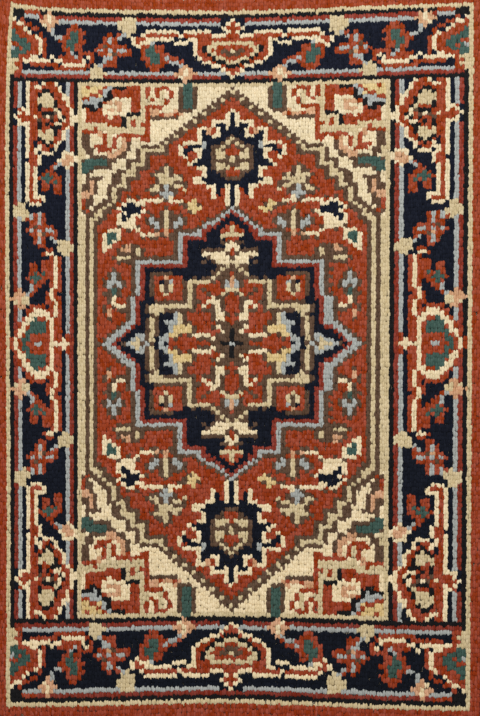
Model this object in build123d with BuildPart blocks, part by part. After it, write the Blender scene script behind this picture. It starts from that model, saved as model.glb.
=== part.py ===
from build123d import *
import os

# A small hand-knotted wool rug, lying flat. The origin is the middle of its back, +X runs across
# the rug, +Y runs along the warps to the head end and +Z is up out of the pile.
# The design is counted in knots from the head's left corner, as on a weaver's chart: columns run
# to the right and rows run down to the foot.

# ---- Loom plan, in knots ----
MARGIN_LEFT = 3
MARGIN_RIGHT = 2
MARGIN_HEAD = 3
MARGIN_FOOT = 3
LINE = 1
GROUND_SIDE = 11
GROUND_HEAD = 12
GROUND_FOOT = 13
SIDE_BAND = 2
FIELD_COLUMNS = 57
FIELD_ROWS = 135
SHOULDER_ROWS = 34
APEX_ROWS = 3
EDGING = 3

# ---- Knot sizes, in millimetres ----
PITCH_LEFT = 4.9
PITCH_FIELD = 5.85
PITCH_RIGHT = 5.6
ROW_PITCH = 4.888
ROW_DRIFT = 0.07

# ---- Thread sizes and heights ----
KNOT_BACK = 0.9
WARP_DIAMETER = 1.0
WEFT_DIAMETER = 0.8
PILE_HEIGHT = 8.3

# ---- Edges and ends ----
SELVEDGE_DIAMETER = 4.6
SELVEDGE_CORE = 2.4
WEB_LENGTH = 12
TASSEL_PITCH = 16.7
TASSEL_LENGTH = 26
TASSEL_NECK = 2.2
TASSEL_TIP = 3.4
TASSEL_KNOT_LENGTH = 4.2

# ---- Medallion and pendants, in knots from their centres ----
# One quarter of each outline, from the apex round to the side.
MEDALLION = [(0, 34), (6, 29), (6, 27), (11, 27), (11, 21), (20, 21), (20, 11), (26, 0)]
PANEL = [(0, 19), (5, 15), (9, 15), (9, 9), (17, 9), (17, 0)]
SQUARE_SIDE = 7
SQUARE_GAP = 1
PENDANT = [(0, 11), (2, 11), (2, 9), (5, 9), (5, 7), (8, 6), (8, 4), (10, 3), (10, 0)]
PENDANT_ROWS_FROM_CENTRE = 48

# ---- Worked-out plan ----
LINES = 4 * LINE
LEFT_COLUMNS = MARGIN_LEFT + LINES + GROUND_SIDE + 3 * LINE + SIDE_BAND + EDGING
RIGHT_COLUMNS = MARGIN_RIGHT + LINES + GROUND_SIDE + 3 * LINE + SIDE_BAND + EDGING
COLUMNS = LEFT_COLUMNS + FIELD_COLUMNS + RIGHT_COLUMNS
HEAD_ROWS = MARGIN_HEAD + LINES + GROUND_HEAD + LINES
FOOT_ROWS = MARGIN_FOOT + LINES + GROUND_FOOT + LINES
ROWS = HEAD_ROWS + FIELD_ROWS + FOOT_ROWS
FIELD_LEFT = LEFT_COLUMNS
FIELD_RIGHT = LEFT_COLUMNS + FIELD_COLUMNS
FIELD_HEAD = HEAD_ROWS
FIELD_FOOT = HEAD_ROWS + FIELD_ROWS
CENTRE_COLUMN = (FIELD_LEFT + FIELD_RIGHT) / 2
CENTRE_ROW = (FIELD_HEAD + FIELD_FOOT) / 2
PILE_WIDTH = LEFT_COLUMNS * PITCH_LEFT + FIELD_COLUMNS * PITCH_FIELD + RIGHT_COLUMNS * PITCH_RIGHT
PILE_LENGTH = ROWS * ROW_PITCH
LOWER_WARP_Z = KNOT_BACK + WARP_DIAMETER / 2
WEFT_Z = KNOT_BACK + WARP_DIAMETER + WEFT_DIAMETER / 2
UPPER_WARP_Z = WEFT_Z + WEFT_DIAMETER / 2 + WARP_DIAMETER / 2
GROUND_TOP = UPPER_WARP_Z + WARP_DIAMETER / 2

os.makedirs("parts", exist_ok=True)


def column_x(column):
    """Where a line between two columns of knots lies: the borders are set closer than the field."""
    left = min(column, FIELD_LEFT) * PITCH_LEFT
    middle = min(max(column - FIELD_LEFT, 0), FIELD_COLUMNS) * PITCH_FIELD
    right = max(column - FIELD_RIGHT, 0) * PITCH_RIGHT
    return left + middle + right - PILE_WIDTH / 2


def row_y(row):
    """Where a line between two rows of knots lies: rows are beaten tighter towards the head."""
    slack = ROW_DRIFT * (row * row / ROWS - row)
    return PILE_LENGTH / 2 - ROW_PITCH * (row + slack)


def patch(left, head, right, foot, mode=Mode.ADD):
    """A block of knots between two column lines and two row lines, in the sketch being drawn."""
    x0 = column_x(left)
    x1 = column_x(right)
    y0 = row_y(foot)
    y1 = row_y(head)
    with Locations(((x0 + x1) / 2, (y0 + y1) / 2)):
        Rectangle(x1 - x0, y1 - y0, mode=mode)


def outline(corners, mode=Mode.ADD):
    """A block of knots inside an outline of column and row lines, in the sketch being drawn."""
    points = [(column_x(column), row_y(row)) for column, row in corners]
    Polygon(*points, align=None, mode=mode)


def four_ways(quarter, column, row):
    """A quarter outline, from apex to side, turned into the whole one about a centre."""
    head_right = [(column + across, row - along) for across, along in quarter]
    foot_right = [(column + across, row + along) for across, along in reversed(quarter)]
    foot_left = [(column - across, row + along) for across, along in quarter]
    head_left = [(column - across, row - along) for across, along in reversed(quarter)]
    whole = head_right + foot_right + foot_left + head_left
    return [point for index, point in enumerate(whole) if point != whole[index - 1]]


def shrunk(quarter, knots):
    """A quarter outline drawn in by some knots all round."""
    return [(max(across - knots, 0), max(along - knots, 0)) for across, along in quarter]


def finish(node, name):
    """Names a finished piece and writes it."""
    node.part.label = name
    export_step(node.part, f"parts/{name}.step")


def frame_ring(name, outer, thickness):
    """A line of one yarn that runs right round the rug, outer giving the knots already outside it."""
    left = MARGIN_LEFT + outer
    right = COLUMNS - MARGIN_RIGHT - outer
    head = MARGIN_HEAD + outer
    foot = ROWS - MARGIN_FOOT - outer
    with BuildPart() as ring:
        with BuildSketch(Plane.XY.offset(GROUND_TOP)):
            patch(left, head, right, foot)
            patch(left + thickness, head + thickness, right - thickness, foot - thickness, Mode.SUBTRACT)
        extrude(amount=PILE_HEIGHT)
    finish(ring, name)


# ---- Foundation: wool knot backs under two levels of cotton warp with a straight weft between ----
with BuildPart() as knot_backs:
    with BuildSketch(Plane.XY):
        patch(0, 0, COLUMNS, ROWS)
    extrude(amount=KNOT_BACK)
finish(knot_backs, "knot_backs")

# Each knot takes one warp of each level, side by side, so every level has one warp to a column.
for level_name, level_z in (("lower_warps", LOWER_WARP_Z), ("upper_warps", UPPER_WARP_Z)):
    with BuildPart() as warps:
        with BuildSketch(Plane.XZ.offset(-PILE_LENGTH / 2)):
            for column in range(COLUMNS):
                with Locations(((column_x(column) + column_x(column + 1)) / 2, level_z)):
                    Circle(WARP_DIAMETER / 2)
        extrude(amount=PILE_LENGTH)
    finish(warps, level_name)

# One straight weft is laid after every row of knots, from selvedge to selvedge.
with BuildPart() as cable_wefts:
    with BuildSketch(Plane.YZ.offset(-PILE_WIDTH / 2)):
        for row in range(ROWS):
            with Locations((row_y(row + 0.5), WEFT_Z)):
                Circle(WEFT_DIAMETER / 2)
    extrude(amount=PILE_WIDTH)
finish(cable_wefts, "cable_wefts")

# ---- Selvedges: a cotton core cord along each side, overcast with wool ----
for side_name, side in (("left", -1), ("right", 1)):
    selvedge_x = side * (PILE_WIDTH / 2 + SELVEDGE_DIAMETER / 2)
    selvedge_plane = Plane.XZ.offset(-PILE_LENGTH / 2)
    with BuildPart() as core:
        with BuildSketch(selvedge_plane):
            with Locations((selvedge_x, SELVEDGE_DIAMETER / 2)):
                Circle(SELVEDGE_CORE / 2)
        extrude(amount=PILE_LENGTH)
    finish(core, f"selvedge_core_{side_name}")
    with BuildPart() as wrap:
        with BuildSketch(selvedge_plane):
            with Locations((selvedge_x, SELVEDGE_DIAMETER / 2)):
                Circle(SELVEDGE_DIAMETER / 2)
                Circle(SELVEDGE_CORE / 2, mode=Mode.SUBTRACT)
        extrude(amount=PILE_LENGTH)
    finish(wrap, f"selvedge_overcast_{side_name}")

# ---- Ends: a flat-woven cotton web, then the warps' own ends knotted into tassels ----
TASSELS = int((PILE_WIDTH - 2 * TASSEL_TIP) // TASSEL_PITCH) + 1
for end_name, end in (("head", 1), ("foot", -1)):
    web_middle = end * (PILE_LENGTH + WEB_LENGTH) / 2
    knot_start = end * (PILE_LENGTH / 2 + WEB_LENGTH)
    tassel_start = knot_start + end * TASSEL_KNOT_LENGTH
    tassel_end = tassel_start + end * TASSEL_LENGTH
    with BuildPart() as web:
        with BuildSketch(Plane.XY):
            with Locations((0, web_middle)):
                Rectangle(PILE_WIDTH, WEB_LENGTH)
        extrude(amount=GROUND_TOP)
    finish(web, f"end_web_{end_name}")
    with BuildPart() as knots:
        with BuildSketch(Plane.XZ.offset(-knot_start)):
            with Locations((0, GROUND_TOP / 2)):
                with GridLocations(TASSEL_PITCH, 0, TASSELS, 1):
                    Circle(GROUND_TOP / 2)
        extrude(amount=-end * TASSEL_KNOT_LENGTH)
    finish(knots, f"fringe_knots_{end_name}")
    with BuildPart() as tassels:
        with BuildSketch(Plane.YZ):
            with BuildLine():
                Polyline(
                    (tassel_start, GROUND_TOP / 2),
                    (tassel_start, (GROUND_TOP + TASSEL_NECK) / 2),
                    (tassel_end, (GROUND_TOP + TASSEL_TIP) / 2),
                    (tassel_end, GROUND_TOP / 2),
                    close=True,
                )
            make_face()
        revolve(axis=Axis((0, 0, GROUND_TOP / 2), (0, 1, 0)))
        first = tassels.part
        tassels_x = [TASSEL_PITCH * (index - (TASSELS - 1) / 2) for index in range(TASSELS)]
        with Locations(*[(x, 0, 0) for x in tassels_x]):
            add(first, mode=Mode.REPLACE)
    finish(tassels, f"fringe_{end_name}")

# ---- Pile: the rust margin and the lines that run right round ----
with BuildPart() as margin:
    with BuildSketch(Plane.XY.offset(GROUND_TOP)):
        patch(0, 0, COLUMNS, ROWS)
        patch(MARGIN_LEFT, MARGIN_HEAD, COLUMNS - MARGIN_RIGHT, ROWS - MARGIN_FOOT, Mode.SUBTRACT)
    extrude(amount=PILE_HEIGHT)
finish(margin, "pile_margin")
frame_ring("pile_outer_cream_line", 0, LINE)
frame_ring("pile_outer_black_line", LINE, LINE)

# ---- Pile: head and foot borders run right across, side borders fit between them ----
BORDER_LEFT = MARGIN_LEFT + 2 * LINE
BORDER_RIGHT = COLUMNS - MARGIN_RIGHT - 2 * LINE
BORDER_HEAD = MARGIN_HEAD + 2 * LINE
BORDER_FOOT = ROWS - MARGIN_FOOT - 2 * LINE
HEAD_GROUND_TOP = BORDER_HEAD + 2 * LINE
HEAD_GROUND_END = HEAD_GROUND_TOP + GROUND_HEAD
FOOT_GROUND_END = BORDER_FOOT - 2 * LINE
FOOT_GROUND_TOP = FOOT_GROUND_END - GROUND_FOOT
SIDE_HEAD = HEAD_GROUND_END + 3 * LINE
SIDE_FOOT = FOOT_GROUND_TOP - 3 * LINE
LEFT_GROUND_START = BORDER_LEFT + 2 * LINE
LEFT_GROUND_END = LEFT_GROUND_START + GROUND_SIDE
RIGHT_GROUND_END = BORDER_RIGHT - 2 * LINE
RIGHT_GROUND_START = RIGHT_GROUND_END - GROUND_SIDE

with BuildPart() as red_lines:
    with BuildSketch(Plane.XY.offset(GROUND_TOP)):
        for row in (BORDER_HEAD, HEAD_GROUND_END + LINE, FOOT_GROUND_TOP - 2 * LINE, BORDER_FOOT - LINE):
            patch(BORDER_LEFT, row, BORDER_RIGHT, row + LINE)
        for column in (BORDER_LEFT, LEFT_GROUND_END + LINE):
            patch(column, SIDE_HEAD, column + LINE, SIDE_FOOT)
        for column in (RIGHT_GROUND_START - 2 * LINE, BORDER_RIGHT - LINE):
            patch(column, SIDE_HEAD, column + LINE, SIDE_FOOT)
    extrude(amount=PILE_HEIGHT)
finish(red_lines, "pile_border_red_lines")

with BuildPart() as blue_lines:
    with BuildSketch(Plane.XY.offset(GROUND_TOP)):
        for row in (BORDER_HEAD + LINE, HEAD_GROUND_END, FOOT_GROUND_TOP - LINE, FOOT_GROUND_END):
            patch(BORDER_LEFT, row, BORDER_RIGHT, row + LINE)
        for column in (BORDER_LEFT + LINE, LEFT_GROUND_END, RIGHT_GROUND_START - LINE, RIGHT_GROUND_END):
            patch(column, SIDE_HEAD, column + LINE, SIDE_FOOT)
    extrude(amount=PILE_HEIGHT)
finish(blue_lines, "pile_border_blue_lines")

grounds = (
    ("pile_border_head", BORDER_LEFT, HEAD_GROUND_TOP, BORDER_RIGHT, HEAD_GROUND_END),
    ("pile_border_foot", BORDER_LEFT, FOOT_GROUND_TOP, BORDER_RIGHT, FOOT_GROUND_END),
    ("pile_border_left", LEFT_GROUND_START, SIDE_HEAD, LEFT_GROUND_END, SIDE_FOOT),
    ("pile_border_right", RIGHT_GROUND_START, SIDE_HEAD, RIGHT_GROUND_END, SIDE_FOOT),
)
for ground_name, left, head, right, foot in grounds:
    with BuildPart() as ground:
        with BuildSketch(Plane.XY.offset(GROUND_TOP)):
            patch(left, head, right, foot)
        extrude(amount=PILE_HEIGHT)
    finish(ground, ground_name)

# ---- Pile: the black and cream lines between the borders and the field ----
BLACK_LEFT = LEFT_GROUND_END + 2 * LINE
BLACK_RIGHT = RIGHT_GROUND_START - 2 * LINE
CREAM_LEFT = BLACK_LEFT + LINE
CREAM_RIGHT = BLACK_RIGHT - LINE
with BuildPart() as inner_black:
    with BuildSketch(Plane.XY.offset(GROUND_TOP)):
        patch(BORDER_LEFT, SIDE_HEAD - LINE, BORDER_RIGHT, SIDE_HEAD)
        patch(BORDER_LEFT, SIDE_FOOT, BORDER_RIGHT, SIDE_FOOT + LINE)
        patch(BLACK_LEFT, SIDE_HEAD, CREAM_LEFT, SIDE_FOOT)
        patch(CREAM_RIGHT, SIDE_HEAD, BLACK_RIGHT, SIDE_FOOT)
    extrude(amount=PILE_HEIGHT)
finish(inner_black, "pile_inner_black_line")

HEAD_SHOULDER = FIELD_HEAD + SHOULDER_ROWS
FOOT_SHOULDER = FIELD_FOOT - SHOULDER_ROWS
with BuildPart() as inner_cream:
    with BuildSketch(Plane.XY.offset(GROUND_TOP)):
        patch(CREAM_LEFT, SIDE_HEAD, CREAM_RIGHT, FIELD_HEAD)
        patch(CREAM_LEFT, FIELD_FOOT, CREAM_RIGHT, SIDE_FOOT)
        patch(CREAM_LEFT, FIELD_HEAD, CREAM_LEFT + SIDE_BAND, FIELD_FOOT)
        patch(CREAM_RIGHT - SIDE_BAND, FIELD_HEAD, CREAM_RIGHT, FIELD_FOOT)
    extrude(amount=PILE_HEIGHT)
finish(inner_cream, "pile_inner_cream_line")

# ---- Pile: the corner pieces and the edging that draws the field to a point at each end ----
INNER_LEFT = CREAM_LEFT + SIDE_BAND
INNER_RIGHT = CREAM_RIGHT - SIDE_BAND
HEAD_APEX = FIELD_HEAD + APEX_ROWS
FOOT_APEX = FIELD_FOOT - APEX_ROWS
corner_pieces = (
    ("head_left", INNER_LEFT, FIELD_HEAD, HEAD_SHOULDER),
    ("head_right", INNER_RIGHT, FIELD_HEAD, HEAD_SHOULDER),
    ("foot_left", INNER_LEFT, FIELD_FOOT, FOOT_SHOULDER),
    ("foot_right", INNER_RIGHT, FIELD_FOOT, FOOT_SHOULDER),
)
for corner_name, side_column, end_row, shoulder in corner_pieces:
    with BuildPart() as corner_piece:
        with BuildSketch(Plane.XY.offset(GROUND_TOP)):
            outline([(side_column, end_row), (CENTRE_COLUMN, end_row), (side_column, shoulder)])
        extrude(amount=PILE_HEIGHT)
    finish(corner_piece, f"pile_corner_{corner_name}")

field_edge = [
    (CENTRE_COLUMN, FIELD_HEAD),
    (INNER_RIGHT, HEAD_SHOULDER),
    (INNER_RIGHT, FOOT_SHOULDER),
    (CENTRE_COLUMN, FIELD_FOOT),
    (INNER_LEFT, FOOT_SHOULDER),
    (INNER_LEFT, HEAD_SHOULDER),
]
EDGING_SHOULDER = EDGING * LINE
ground_edge = [
    (CENTRE_COLUMN, HEAD_APEX),
    (FIELD_RIGHT, HEAD_SHOULDER + EDGING_SHOULDER),
    (FIELD_RIGHT, FOOT_SHOULDER - EDGING_SHOULDER),
    (CENTRE_COLUMN, FOOT_APEX),
    (FIELD_LEFT, FOOT_SHOULDER - EDGING_SHOULDER),
    (FIELD_LEFT, HEAD_SHOULDER + EDGING_SHOULDER),
]
with BuildPart() as edging:
    with BuildSketch(Plane.XY.offset(GROUND_TOP)):
        outline(field_edge)
        outline(ground_edge, Mode.SUBTRACT)
    extrude(amount=PILE_HEIGHT)
finish(edging, "pile_field_edging")

# ---- Pile: the rust field round the medallion, and its pendants ----
medallion_edge = four_ways(MEDALLION, CENTRE_COLUMN, CENTRE_ROW)
pendant_rows = (
    CENTRE_ROW - PENDANT_ROWS_FROM_CENTRE,
    CENTRE_ROW + PENDANT_ROWS_FROM_CENTRE,
)
with BuildPart() as field:
    with BuildSketch(Plane.XY.offset(GROUND_TOP)):
        outline(ground_edge)
        outline(medallion_edge, Mode.SUBTRACT)
        for row in pendant_rows:
            outline(four_ways(PENDANT, CENTRE_COLUMN, row), Mode.SUBTRACT)
    extrude(amount=PILE_HEIGHT)
finish(field, "pile_field")

for pendant_name, row in zip(("head", "foot"), pendant_rows):
    with BuildPart() as pendant_rim:
        with BuildSketch(Plane.XY.offset(GROUND_TOP)):
            outline(four_ways(PENDANT, CENTRE_COLUMN, row))
            outline(four_ways(shrunk(PENDANT, 2 * LINE), CENTRE_COLUMN, row), Mode.SUBTRACT)
        extrude(amount=PILE_HEIGHT)
    finish(pendant_rim, f"pile_pendant_rim_{pendant_name}")
    with BuildPart() as pendant_ground:
        with BuildSketch(Plane.XY.offset(GROUND_TOP)):
            outline(four_ways(shrunk(PENDANT, 2 * LINE), CENTRE_COLUMN, row))
        extrude(amount=PILE_HEIGHT)
    finish(pendant_ground, f"pile_pendant_ground_{pendant_name}")

# ---- Pile: the medallion, from its outline inwards ----
red_edge = four_ways(shrunk(MEDALLION, LINE), CENTRE_COLUMN, CENTRE_ROW)
navy_edge = four_ways(shrunk(MEDALLION, 2 * LINE), CENTRE_COLUMN, CENTRE_ROW)
panel_edge = four_ways(PANEL, CENTRE_COLUMN, CENTRE_ROW)
panel_ground = four_ways(shrunk(PANEL, LINE), CENTRE_COLUMN, CENTRE_ROW)
SQUARE_INNER = PANEL[2][0] + SQUARE_GAP
SQUARE_LOWER = PANEL[3][1] + SQUARE_GAP

with BuildPart() as medallion_blue:
    with BuildSketch(Plane.XY.offset(GROUND_TOP)):
        outline(medallion_edge)
        outline(red_edge, Mode.SUBTRACT)
    extrude(amount=PILE_HEIGHT)
finish(medallion_blue, "pile_medallion_blue_line")

with BuildPart() as medallion_red:
    with BuildSketch(Plane.XY.offset(GROUND_TOP)):
        outline(red_edge)
        outline(navy_edge, Mode.SUBTRACT)
    extrude(amount=PILE_HEIGHT)
finish(medallion_red, "pile_medallion_red_line")


def squares(mode=Mode.ADD):
    """The four red squares in the medallion's arms, in the sketch being drawn."""
    for across in (-1, 1):
        for along in (-1, 1):
            near_column = CENTRE_COLUMN + across * SQUARE_INNER
            near_row = CENTRE_ROW + along * SQUARE_LOWER
            far_column = near_column + across * SQUARE_SIDE
            far_row = near_row + along * SQUARE_SIDE
            left = min(near_column, far_column)
            head = min(near_row, far_row)
            patch(left, head, left + SQUARE_SIDE, head + SQUARE_SIDE, mode)


with BuildPart() as medallion_ground:
    with BuildSketch(Plane.XY.offset(GROUND_TOP)):
        outline(navy_edge)
        outline(panel_edge, Mode.SUBTRACT)
        squares(Mode.SUBTRACT)
    extrude(amount=PILE_HEIGHT)
finish(medallion_ground, "pile_medallion_ground")

with BuildPart() as medallion_squares:
    with BuildSketch(Plane.XY.offset(GROUND_TOP)):
        squares()
    extrude(amount=PILE_HEIGHT)
finish(medallion_squares, "pile_medallion_squares")

with BuildPart() as panel_rim:
    with BuildSketch(Plane.XY.offset(GROUND_TOP)):
        outline(panel_edge)
        outline(panel_ground, Mode.SUBTRACT)
    extrude(amount=PILE_HEIGHT)
finish(panel_rim, "pile_medallion_panel_rim")

with BuildPart() as panel:
    with BuildSketch(Plane.XY.offset(GROUND_TOP)):
        outline(panel_ground)
    extrude(amount=PILE_HEIGHT)
finish(panel, "pile_medallion_panel")
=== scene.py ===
import math
import bpy
import numpy as np
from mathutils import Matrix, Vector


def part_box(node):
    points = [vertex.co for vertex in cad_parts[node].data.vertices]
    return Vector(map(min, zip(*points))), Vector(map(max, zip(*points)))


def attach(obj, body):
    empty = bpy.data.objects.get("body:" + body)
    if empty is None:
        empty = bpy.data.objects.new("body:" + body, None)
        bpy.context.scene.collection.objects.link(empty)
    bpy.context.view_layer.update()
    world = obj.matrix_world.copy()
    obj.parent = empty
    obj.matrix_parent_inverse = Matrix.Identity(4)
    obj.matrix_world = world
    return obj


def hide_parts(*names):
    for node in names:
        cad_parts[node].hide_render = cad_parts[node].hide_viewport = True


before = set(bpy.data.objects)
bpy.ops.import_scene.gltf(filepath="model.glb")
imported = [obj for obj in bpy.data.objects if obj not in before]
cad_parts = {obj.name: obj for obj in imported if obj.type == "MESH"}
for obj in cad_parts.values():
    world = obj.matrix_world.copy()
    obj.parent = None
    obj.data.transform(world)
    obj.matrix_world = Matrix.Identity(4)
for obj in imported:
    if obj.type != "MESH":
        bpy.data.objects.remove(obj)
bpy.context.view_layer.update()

MM = 0.001

# ---- Studio ----
# The rug lies flat on a plain pale floor and is seen from straight above it, the head away from
# the eye. One broad soft lamp hangs over the head end and the room's own light fills the rest.
EYE_HEIGHT = 1.8
LOOKED_AT = (2.4 * MM, 0.2 * MM, 12 * MM)
VIEW_LENGTH = 0.8845
SENSOR = 36

eye = bpy.data.cameras.new("eye")
eye.sensor_width = SENSOR
eye.lens = SENSOR * EYE_HEIGHT / VIEW_LENGTH
eye_object = bpy.data.objects.new("eye", eye)
eye_object.location = (LOOKED_AT[0], LOOKED_AT[1], LOOKED_AT[2] + EYE_HEIGHT)
bpy.context.scene.collection.objects.link(eye_object)
bpy.context.scene.camera = eye_object
bpy.context.scene.view_settings.view_transform = "Standard"

# Each lamp's name, place, width and watts.
LAMPS = (
    ("head_lamp", (0.0, 1.1, 1.9), 1.5, 32),
    ("room_lamp", (0.0, -0.3, 2.6), 2.4, 39),
)
for lamp_name, lamp_place, lamp_size, lamp_watts in LAMPS:
    lamp = bpy.data.lights.new(lamp_name, "AREA")
    lamp.size = lamp_size
    lamp.energy = lamp_watts
    lamp_object = bpy.data.objects.new(lamp_name, lamp)
    lamp_object.location = lamp_place
    lamp_object.rotation_euler = (-math.atan2(lamp_place[1], lamp_place[2]), 0, 0)
    bpy.context.scene.collection.objects.link(lamp_object)

ROOM_LIGHT = 0.43
ROOM_SHADE = (1.0, 0.98, 0.95, 1)
room = bpy.data.worlds.new("room")
room.use_nodes = True
room_light = room.node_tree.nodes["Background"]
room_light.inputs["Color"].default_value = ROOM_SHADE
room_light.inputs["Strength"].default_value = ROOM_LIGHT
bpy.context.scene.world = room


class Tap:
    """One output of a shader node, so that shader maths can be written as plain sums."""

    def __init__(self, recipe, socket):
        self.recipe = recipe
        self.socket = socket

    def _maths(self, operation, *values):
        return self.recipe.add("ShaderNodeMath", {"operation": operation}, *values)

    def __add__(self, other):
        return self._maths("ADD", self, other)

    def __radd__(self, other):
        return self._maths("ADD", other, self)

    def __sub__(self, other):
        return self._maths("SUBTRACT", self, other)

    def __rsub__(self, other):
        return self._maths("SUBTRACT", other, self)

    def __mul__(self, other):
        return self._maths("MULTIPLY", self, other)

    def __rmul__(self, other):
        return self._maths("MULTIPLY", other, self)

    def __pow__(self, other):
        return self._maths("POWER", self, other)


class Recipe:
    """A material being mixed, whose add method makes any node and hands back its output."""

    def __init__(self, name):
        self.material = bpy.data.materials.new(name)
        self.material.use_nodes = True
        self.nodes = self.material.node_tree.nodes
        self.links = self.material.node_tree.links
        self.surface = self.nodes["Principled BSDF"]

    def feed(self, socket, value):
        if isinstance(value, Tap):
            self.links.new(value.socket, socket)
        else:
            socket.default_value = value

    def add(self, kind, settings=None, *values, out=0, **named):
        node = self.nodes.new(kind)
        for key, value in (settings or {}).items():
            setattr(node, key, value)
        for index, value in enumerate(values):
            self.feed(node.inputs[index], value)
        for key, value in named.items():
            self.feed(node.inputs[key], value)
        return Tap(self, node.outputs[out])

    def mix(self, amount, first, second):
        """The first colour going over to the second as amount goes from 0 to 1."""
        settings = {"data_type": "RGBA", "clamp_factor": True}
        node = self.add("ShaderNodeMix", settings, amount, out=2)
        mixer = node.socket.node
        self.feed(mixer.inputs[6], first)
        self.feed(mixer.inputs[7], second)
        return node

    def wear(self, **sockets):
        for key, value in sockets.items():
            self.feed(self.surface.inputs[key.replace("_", " ")], value)


def colour(red, green, blue):
    """A colour as the dyer would match it, 0 to 255, turned into light."""
    steps = [value / 255 for value in (red, green, blue)]
    return (*[s / 12.92 if s <= 0.04045 else ((s + 0.055) / 1.055) ** 2.4 for s in steps], 1)


floor_paint = Recipe("pale_floor")
floor_grain = floor_paint.add("ShaderNodeTexNoise", None, Scale=40.0, Detail=3.0)
floor_tone = floor_paint.mix(floor_grain, colour(212, 210, 206), colour(220, 218, 214))
floor_paint.wear(Base_Color=floor_tone, Roughness=0.85)

FLOOR_SIDE = 6.0
floor_mesh = bpy.data.meshes.new("floor")
half_floor = FLOOR_SIDE / 2
floor_corners = [(x * half_floor, y * half_floor, 0) for x, y in ((-1, -1), (1, -1), (1, 1), (-1, 1))]
floor_mesh.from_pydata(floor_corners, [], [(0, 1, 2, 3)])
floor_mesh.materials.append(floor_paint.material)
floor = bpy.data.objects.new("floor", floor_mesh)
bpy.context.scene.collection.objects.link(floor)

# ---- Foundation ----
# The ground of the rug is cotton: two warps to each knot, one behind the other, with a straight
# weft shot after every row of knots. It was beaten by hand, so rows and columns wander a little.
COLUMNS = 108
ROWS = 182
FIELD_COLUMNS = 57
LEFT_COLUMNS = 26
RIGHT_COLUMNS = 25
ROW_DRIFT = 0.07

pile_low, pile_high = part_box("pile_margin")
field_low, field_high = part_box("pile_field")
row_pitch = (pile_high[1] - pile_low[1]) / ROWS
left_pitch = (field_low[0] - pile_low[0]) / LEFT_COLUMNS
field_pitch = (field_high[0] - field_low[0]) / FIELD_COLUMNS
right_pitch = (pile_high[0] - field_high[0]) / RIGHT_COLUMNS
ground_top = pile_low[2]
pile_top = pile_high[2]
back_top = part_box("knot_backs")[1][2]


# The corner at the head's left end was drawn out: how far across and along in mm, and over how many
# columns and rows the pull dies away.
CORNER_PULL = (11.0, 15.0)
CORNER_COLUMNS = 9
CORNER_ROWS = 10
# The rows rise and fall in slow waves, this many rows from crest to crest.
WAVE_ROWS = 86


def on_loom(column, row):
    """Where a point of the chart lies on the rug, with the unevenness of hand weaving.

    The strays are in millimetres. across runs from -1 at the left edge to 1 at the right, and down
    from 0 at the head to 1 at the foot.
    """
    column = np.asarray(column, float)
    row = np.asarray(row, float)
    in_field = np.clip(column - LEFT_COLUMNS, 0, FIELD_COLUMNS)
    past_field = np.maximum(column - LEFT_COLUMNS - FIELD_COLUMNS, 0)
    x = pile_low[0] + np.minimum(column, LEFT_COLUMNS) * left_pitch
    x = x + in_field * field_pitch + past_field * right_pitch
    y = pile_high[1] - row_pitch * (row + ROW_DRIFT * (row * row / ROWS - row))
    across = column * 2 / COLUMNS - 1
    down = row / ROWS
    turn = 2 * math.pi
    left_edge = np.maximum(1 - column / LEFT_COLUMNS, 0)
    corner = np.exp(-column / CORNER_COLUMNS - row / CORNER_ROWS)
    # The head came out wider than the foot, and the rug leans to the left on its way down.
    x_stray = 2.7 * across - 2.6 * down - 2.4 * across * down
    # The left border sways in and out, and the columns crowd or spread across the rug.
    x_stray = x_stray + left_edge * (1.3 - 1.2 * np.sin(turn * down)) - 1.2 * np.sin(math.pi * across)
    x_stray = x_stray + CORNER_PULL[0] * corner
    # The rows slope one way at the head and the other way at the foot, and rise and fall in waves.
    y_stray = 4.3 * across + 1.9 * down - 7.2 * across * down
    y_stray = y_stray - 3.6 * np.sin(turn * row / WAVE_ROWS)
    # They bow up at the head's ends and down at the foot's, with a smaller ripple on top.
    y_stray = y_stray + across**2 * (5.5 - 10.5 * down) + CORNER_PULL[1] * corner
    y_stray = y_stray + np.cos(1.5 * math.pi * across) * (2.8 * down - 1.1)
    return x + x_stray * MM, y + y_stray * MM


def make_piece(name, points, loops, sizes, smooth=True):
    """A mesh object from its points and its faces, given as one run of corners and their counts."""
    mesh = bpy.data.meshes.new(name)
    mesh.vertices.add(len(points))
    mesh.vertices.foreach_set("co", np.asarray(points, np.float32).ravel())
    mesh.loops.add(len(loops))
    mesh.loops.foreach_set("vertex_index", np.asarray(loops, np.int32))
    starts = np.concatenate(([0], np.cumsum(sizes)[:-1]))
    mesh.polygons.add(len(sizes))
    mesh.polygons.foreach_set("loop_start", starts.astype(np.int32))
    mesh.polygons.foreach_set("use_smooth", np.full(len(sizes), smooth))
    mesh.update(calc_edges=True)
    piece = bpy.data.objects.new(name, mesh)
    bpy.context.scene.collection.objects.link(piece)
    return piece


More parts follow.
